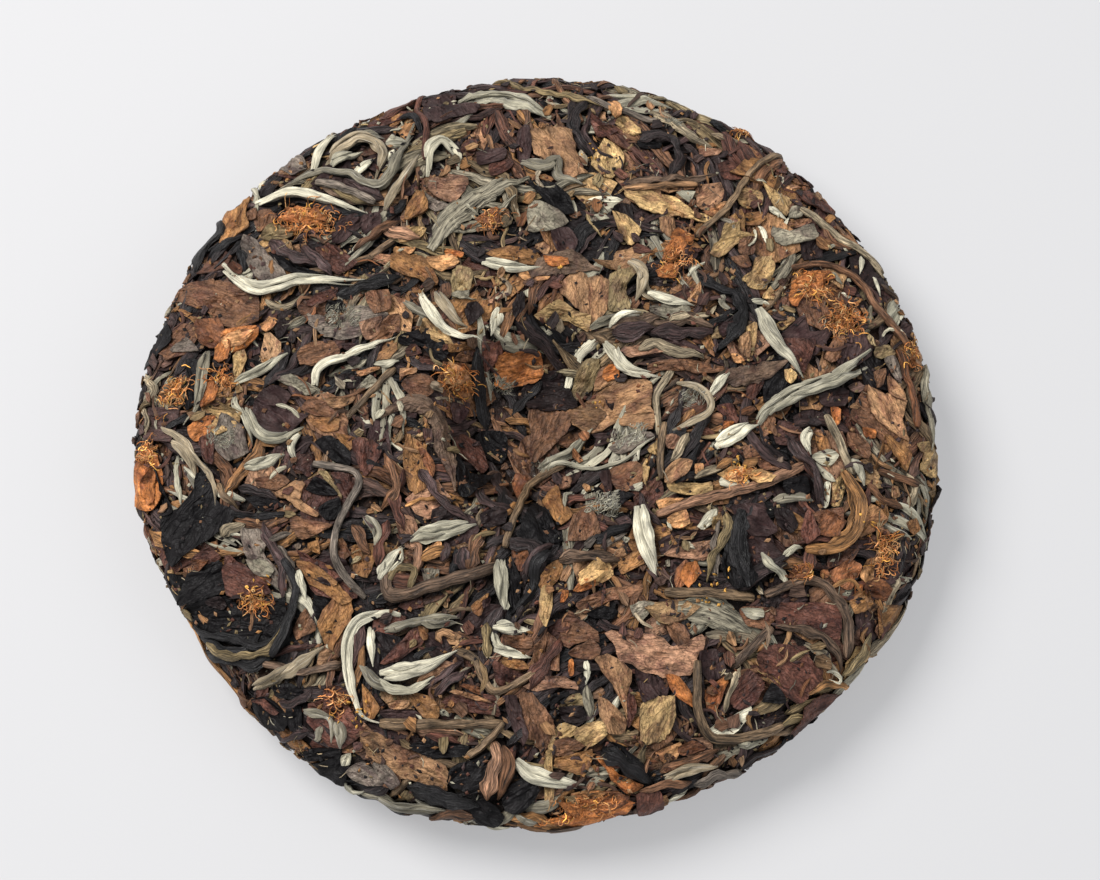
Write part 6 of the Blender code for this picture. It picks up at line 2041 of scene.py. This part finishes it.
def flake_material(name, shine=0.5, vein=0.35, wrinkle=0.3, specular=0.35, contrast=1.0, crease=1.0,
                   gain=1.5):
    """Torn leaf: blotched, with a vein lattice, wrinkles, cracks, dark specks, and painted shade and light on
    its folds.
    """
    s = Shader(name)
    grain = s.attribute("grain", "Vector")
    tint = s.attribute("tint", "Color")
    parts = s.tree.nodes.new("ShaderNodeSeparateXYZ")
    s.put(parts.inputs[0], grain)
    beside = s.math("ABSOLUTE", parts.outputs["Y"])
    midrib = s.spread(beside, 0.12, 0.42, 1.0, 0.0)
    wander = s.math("MULTIPLY", s.noise(grain, (0.3, 0.3, 0.3), 2.0), 2.6)
    rank = s.math("ADD", parts.outputs["X"], s.math("MULTIPLY", beside, -0.9))
    rank = s.math("FRACT", s.math("MULTIPLY", s.math("ADD", rank, wander), 0.36))
    side_vein = s.spread(s.math("ABSOLUTE", s.math("SUBTRACT", rank, 0.5)), 0.0, 0.08, 1.0, 0.0)
    veins = s.math("MAXIMUM", midrib, s.math("MULTIPLY", side_vein, 0.5))
    patches = s.noise(grain, (0.17, 0.26, 0.2), 3.0, 0.6, 0.8)
    mottle = s.noise(grain, (0.4, 0.6, 0.5), 4.0, 0.6, 0.6)
    fine = s.noise(grain, (1.2, 1.8, 1.6), 3.0, 0.65)
    folds = s.noise(grain, (0.16, 0.36, 0.3), 2.0, 0.5, 0.7)
    wrinkles = s.noise(grain, (0.55, 0.95, 0.8), 3.0, 0.55, 1.0)
    net = s.net(s.warped(grain, 0.5, 0.9), (0.75, 0.95, 0.8), 0.12)
    cracks = s.lines(grain, (0.2, 0.55, 0.4), 0.04, 3.0, 0.6)
    specks = s.spread(s.noise(grain, (1.3, 1.3, 1.3), 3.0, 0.7), 0.0, 0.16, 0.45, 1.0)
    shade = s.math("MULTIPLY", s.spread(mottle, 0, 1, 1 - 0.36 * contrast, 1 + 0.3 * contrast),
                   s.spread(fine, 0, 1, 1 - 0.3 * contrast, 1 + 0.28 * contrast))
    # painted shade and light of the folds: darker in their hollows, lighter on their crests
    shade = s.math("MULTIPLY", shade, s.spread(folds, 0, 1, 1 - 0.32, 1 + 0.26))
    shade = s.math("MULTIPLY", shade, specks)
    shade = s.math("MULTIPLY", shade, s.spread(cracks, 0, 1, 1.0, 1 - 0.5 * crease))
    shade = s.math("MULTIPLY", shade, s.spread(net, 0, 1, 1.03, 0.88))
    shade = s.math("ADD", shade, s.math("MULTIPLY", veins, vein * 0.3))
    colour = s.scaled(tint, shade)
    turned = s.mix(1.0, colour, (0.45, 0.36, 0.4, 1), "MULTIPLY")
    colour = s.mix(s.spread(patches, 0.1, 0.62, 0.9, 0.0), colour, turned)
    height = s.math("ADD", s.math("MULTIPLY", folds, 3.0), s.math("MULTIPLY", wrinkles, 0.7 * crease))
    height = s.math("ADD", height, s.math("MULTIPLY", fine, 0.12))
    height = s.math("ADD", height, s.math("MULTIPLY", veins, vein * 0.8))
    height = s.math("SUBTRACT", height, s.math("MULTIPLY", net, 0.1))
    height = s.math("SUBTRACT", height, s.math("MULTIPLY", cracks, 0.35 * crease))
    normal = s.bump(height, wrinkle)
    roughness = s.spread(mottle, 0, 1, shine + 0.18, shine - 0.07)
    return s.finish(colour, roughness, normal, specular, 0.0, gain)


def small_material(name, shine, grit):
    """Crumbs and threads: the piece's colour, unevenly light and dark."""
    s = Shader(name)
    grain = s.attribute("grain", "Vector")
    speckle = s.noise(grain, (grit, grit, grit), 2.0, 0.6)
    shade = s.spread(speckle, 0, 1, 0.6, 1.25)
    colour = s.scaled(s.attribute("tint", "Color"), shade)
    roughness = s.spread(speckle, 0, 1, shine + 0.1, shine - 0.1)
    return s.finish(colour, roughness, s.bump(speckle, 0.08), 0.3)


def inside_material():
    """The dark packed leaf dust under the pieces, near black, so that it also paints the shade in the gaps
    where it shows.
    """
    s = Shader("leaf_dust_and_gap_shade")
    node = s.tree.nodes.new("ShaderNodeTexCoord")
    place = s.times(node.outputs["Object"], (1 / MM, 1 / MM, 1 / MM))
    lumps = s.noise(place, (0.5, 0.5, 0.5), 5.0, 0.7)
    grit = s.noise(place, (2.2, 2.2, 2.2), 3.0, 0.6)
    # near black: dark leaf, and painted shade of the gaps between pieces
    colour = s.mix(lumps, (0.008, 0.006, 0.006, 1), (0.03, 0.02, 0.016, 1))
    colour = s.mix(s.spread(grit, 0.55, 1.0, 0.0, 0.5), colour, (0.07, 0.045, 0.03, 1))
    roughness = s.spread(grit, 0, 1, 0.9, 0.7)
    return s.finish(colour, roughness, s.bump(s.math("ADD", lumps, grit), 0.4), 0.3)


def ground_material():
    """Pale paper, lit a little from within, so that the shadow on it stays soft."""
    s = Shader("pale_ground")
    s.surface.inputs["Emission Color"].default_value = FLOOR_GLOW
    s.surface.inputs["Emission Strength"].default_value = 1.0
    return s.finish(FLOOR_COLOUR, 0.8, None, 0.2)


# Each kind of piece: what makes its material, the material's name and its settings
MATERIALS = {
    "dark_leaves": (flake_material, "dark_leaf",
                    dict(shine=0.46, wrinkle=0.36, specular=0.16, contrast=0.8, crease=0.4, gain=1.2)),
    "brown_flakes": (flake_material, "brown_leaf", dict(shine=0.5, vein=0.6, wrinkle=0.4, contrast=1.2)),
    "tan_flakes": (flake_material, "tan_leaf", dict(shine=0.56, vein=0.6, wrinkle=0.36, contrast=1.1)),
    "dark_rolls": (fibrous_material, "dark_rolled_leaf",
                   dict(streak=0.85, shine=0.42, blotch=0.5, specular=0.36)),
    "brown_rolls": (fibrous_material, "brown_rolled_leaf", dict(streak=0.8, shine=0.48, blotch=0.5)),
    "olive_rolls": (fibrous_material, "olive_rolled_leaf", dict(streak=0.75, shine=0.54)),
    "silver_buds": (fibrous_material, "silver_bud",
                    dict(fibre=1.8, streak=0.34, depth=0.17, shine=0.66, specular=0.2, sheen=0.25,
                         groove=0.3, pale=(0.6, 0.57, 0.49, 1), gain=1.19)),
    "stems": (fibrous_material, "leaf_stem",
              dict(fibre=1.2, streak=0.75, depth=0.32, shine=0.48, blotch=0.5, groove=0.55)),
    "slivers": (fibrous_material, "leaf_sliver", dict(fibre=2.4, streak=0.5, depth=0.16, shine=0.55)),
    "petals": (flake_material, "petal", dict(shine=0.55, vein=0.25, contrast=1.45, gain=1.4)),
    "stamens": (small_material, "stamen", dict(shine=0.6, grit=1.0)),
    "crumbs": (small_material, "leaf_crumb", dict(shine=0.65, grit=2.0)),
    "hairs": (small_material, "leaf_hair", dict(shine=0.7, grit=1.0)),
}
# Degrees between faces from which an edge looks sharp
SHARP_ANGLES = {"dark_leaves": 32, "brown_flakes": 32, "tan_flakes": 32, "dark_rolls": 42, "brown_rolls": 42,
                "olive_rolls": 42, "crumbs": 25, "slivers": 40}
SMOOTH_ANGLE = 60  # for the other kinds

# ---------------------------------------------------------------- the set
FLOOR_COLOUR = (0.36, 0.36, 0.366, 1)
FLOOR_GLOW = (0.34, 0.34, 0.345, 1)  # light that the ground gives off, which keeps the shadow soft
WORLD_COLOUR = (0.95, 0.97, 1.0, 1)
WORLD_STRENGTH = 0.44
FLOOR_REACH = 3.0  # metres to each side
NEAREST_SEEN = 0.05  # metres from the camera
FARTHEST_SEEN = 20.0
# Each light: name, direction it comes from (x, y, z), distance and size in metres, watts, colour
LIGHTS = (
    ("key", (-0.6, 0.35, 0.85), 1.6, 1.0, 30.0, (1.0, 0.98, 0.96)),
    ("fill", (0.9, -0.3, 0.7), 2.0, 1.4, 7.0, (0.92, 0.96, 1.0)),
)


def make_floor():
    """The plain pale ground."""
    side = FLOOR_REACH
    mesh = bpy.data.meshes.new("ground")
    mesh.from_pydata([(-side, -side, 0), (side, -side, 0), (side, side, 0), (-side, side, 0)], [],
                     [(0, 1, 2, 3)])
    mesh.materials.append(ground_material())
    placed("ground", mesh)


def make_lights():
    """Soft daylight, mostly from the left."""
    world = bpy.data.worlds.new("daylight")
    world.use_nodes = True
    background = world.node_tree.nodes["Background"]
    background.inputs["Color"].default_value = WORLD_COLOUR
    background.inputs["Strength"].default_value = WORLD_STRENGTH
    bpy.context.scene.world = world
    for name, toward, distance, size, power, colour in LIGHTS:
        light = bpy.data.lights.new(name, "AREA")
        light.shape = "DISK"
        light.size = size
        light.energy = power
        light.color = colour
        lamp = placed(name, light)
        direction = Vector(toward).normalized()
        lamp.location = direction * distance
        lamp.rotation_euler = direction.to_track_quat("Z", "Y").to_euler()


def make_camera():
    """The camera at the photograph's angle and framing."""
    right, up, back = (Vector(axis) for axis in camera_axes())
    data = bpy.data.cameras.new("camera")
    data.sensor_width = SENSOR_WIDTH
    data.lens = SENSOR_WIDTH * PIXELS_PER_MM * CAMERA_DISTANCE / PHOTO_SIZE[0]
    data.clip_start = NEAREST_SEEN
    data.clip_end = FARTHEST_SEEN
    camera = placed("camera", data)
    turn = Matrix((right, up, back)).transposed().to_4x4()
    camera.matrix_world = Matrix.Translation(Vector(camera_eye()) * MM) @ turn
    bpy.context.scene.camera = camera
    bpy.context.scene.view_settings.view_transform = "Standard"


# ---------------------------------------------------------------- all together
TOP_REACH = 114.0  # how far from the middle pieces are strewn, along the face
TOP_LEAVES_UNDER = 520
TOP_MIXED = 760
TOP_BITS = 800
TOP_FLAKES = 150
TOP_BUNDLES = 100
TOP_LAST_BITS = 720
TOP_CRUMBS = 4500
TOP_FIBRES = 800
BASE_REACH = 92.0
BASE_LEAVES_UNDER = 330
BASE_MIXED = 520
BASE_BITS = 500
BASE_CRUMBS = 1200


def lay_all(kinds, draw):
    """Lay every piece on the top and the base."""
    top = Pile(TOP_MAP_REACH, False)
    strew_under_leaves(kinds, top, draw, TOP_LEAVES_UNDER, TOP_REACH)
    strew_mixed(kinds, top, draw, TOP_MIXED, TOP_REACH)
    strew_bits(kinds, top, draw, TOP_BITS, TOP_REACH)
    for _ in range(TOP_FLAKES):
        strew_flake(kinds, top, draw, lowest_spot(top, draw, TOP_REACH))
    for _ in range(TOP_BUNDLES):
        strew_bundle(kinds, top, draw, lowest_spot(top, draw, TOP_REACH))
    lay_photo_pieces(kinds, top, draw)
    strew_bits(kinds, top, draw, TOP_LAST_BITS, TOP_REACH)
    top.settle()
    lay_flower_bits(kinds, top, draw)
    strew_crumbs(kinds, top, draw, TOP_CRUMBS, TOP_REACH)
    base = Pile(BASE_MAP_REACH, True)
    strew_under_leaves(kinds, base, draw, BASE_LEAVES_UNDER, BASE_REACH)
    strew_mixed(kinds, base, draw, BASE_MIXED, BASE_REACH)
    strew_bits(kinds, base, draw, BASE_BITS, BASE_REACH)
    base.settle()
    strew_crumbs(kinds, base, draw, BASE_CRUMBS, BASE_REACH)
    strew_fibres(kinds, top, draw, TOP_FIBRES, TOP_REACH)
    return top, base


def main():
    """Build the dressed cake, its ground, lights and camera."""
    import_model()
    draw = np.random.default_rng(SEED)
    kinds = {name: Kind(name) for name in MATERIALS}
    top, base = lay_all(kinds, draw)
    objects = [make_core(top, base)]
    objects[0].data.materials.append(inside_material())
    for name, kind in kinds.items():
        kind.drop_hidden()
        made = make_object(kind, SHARP_ANGLES.get(name, SMOOTH_ANGLE))
        make_material, material_name, settings = MATERIALS[name]
        made.data.materials.append(make_material(material_name, **settings))
        objects.append(made)
    for piece in objects:
        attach(piece, "root")
        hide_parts("tea_cake")
    make_floor()
    make_lights()
    make_camera()


main()
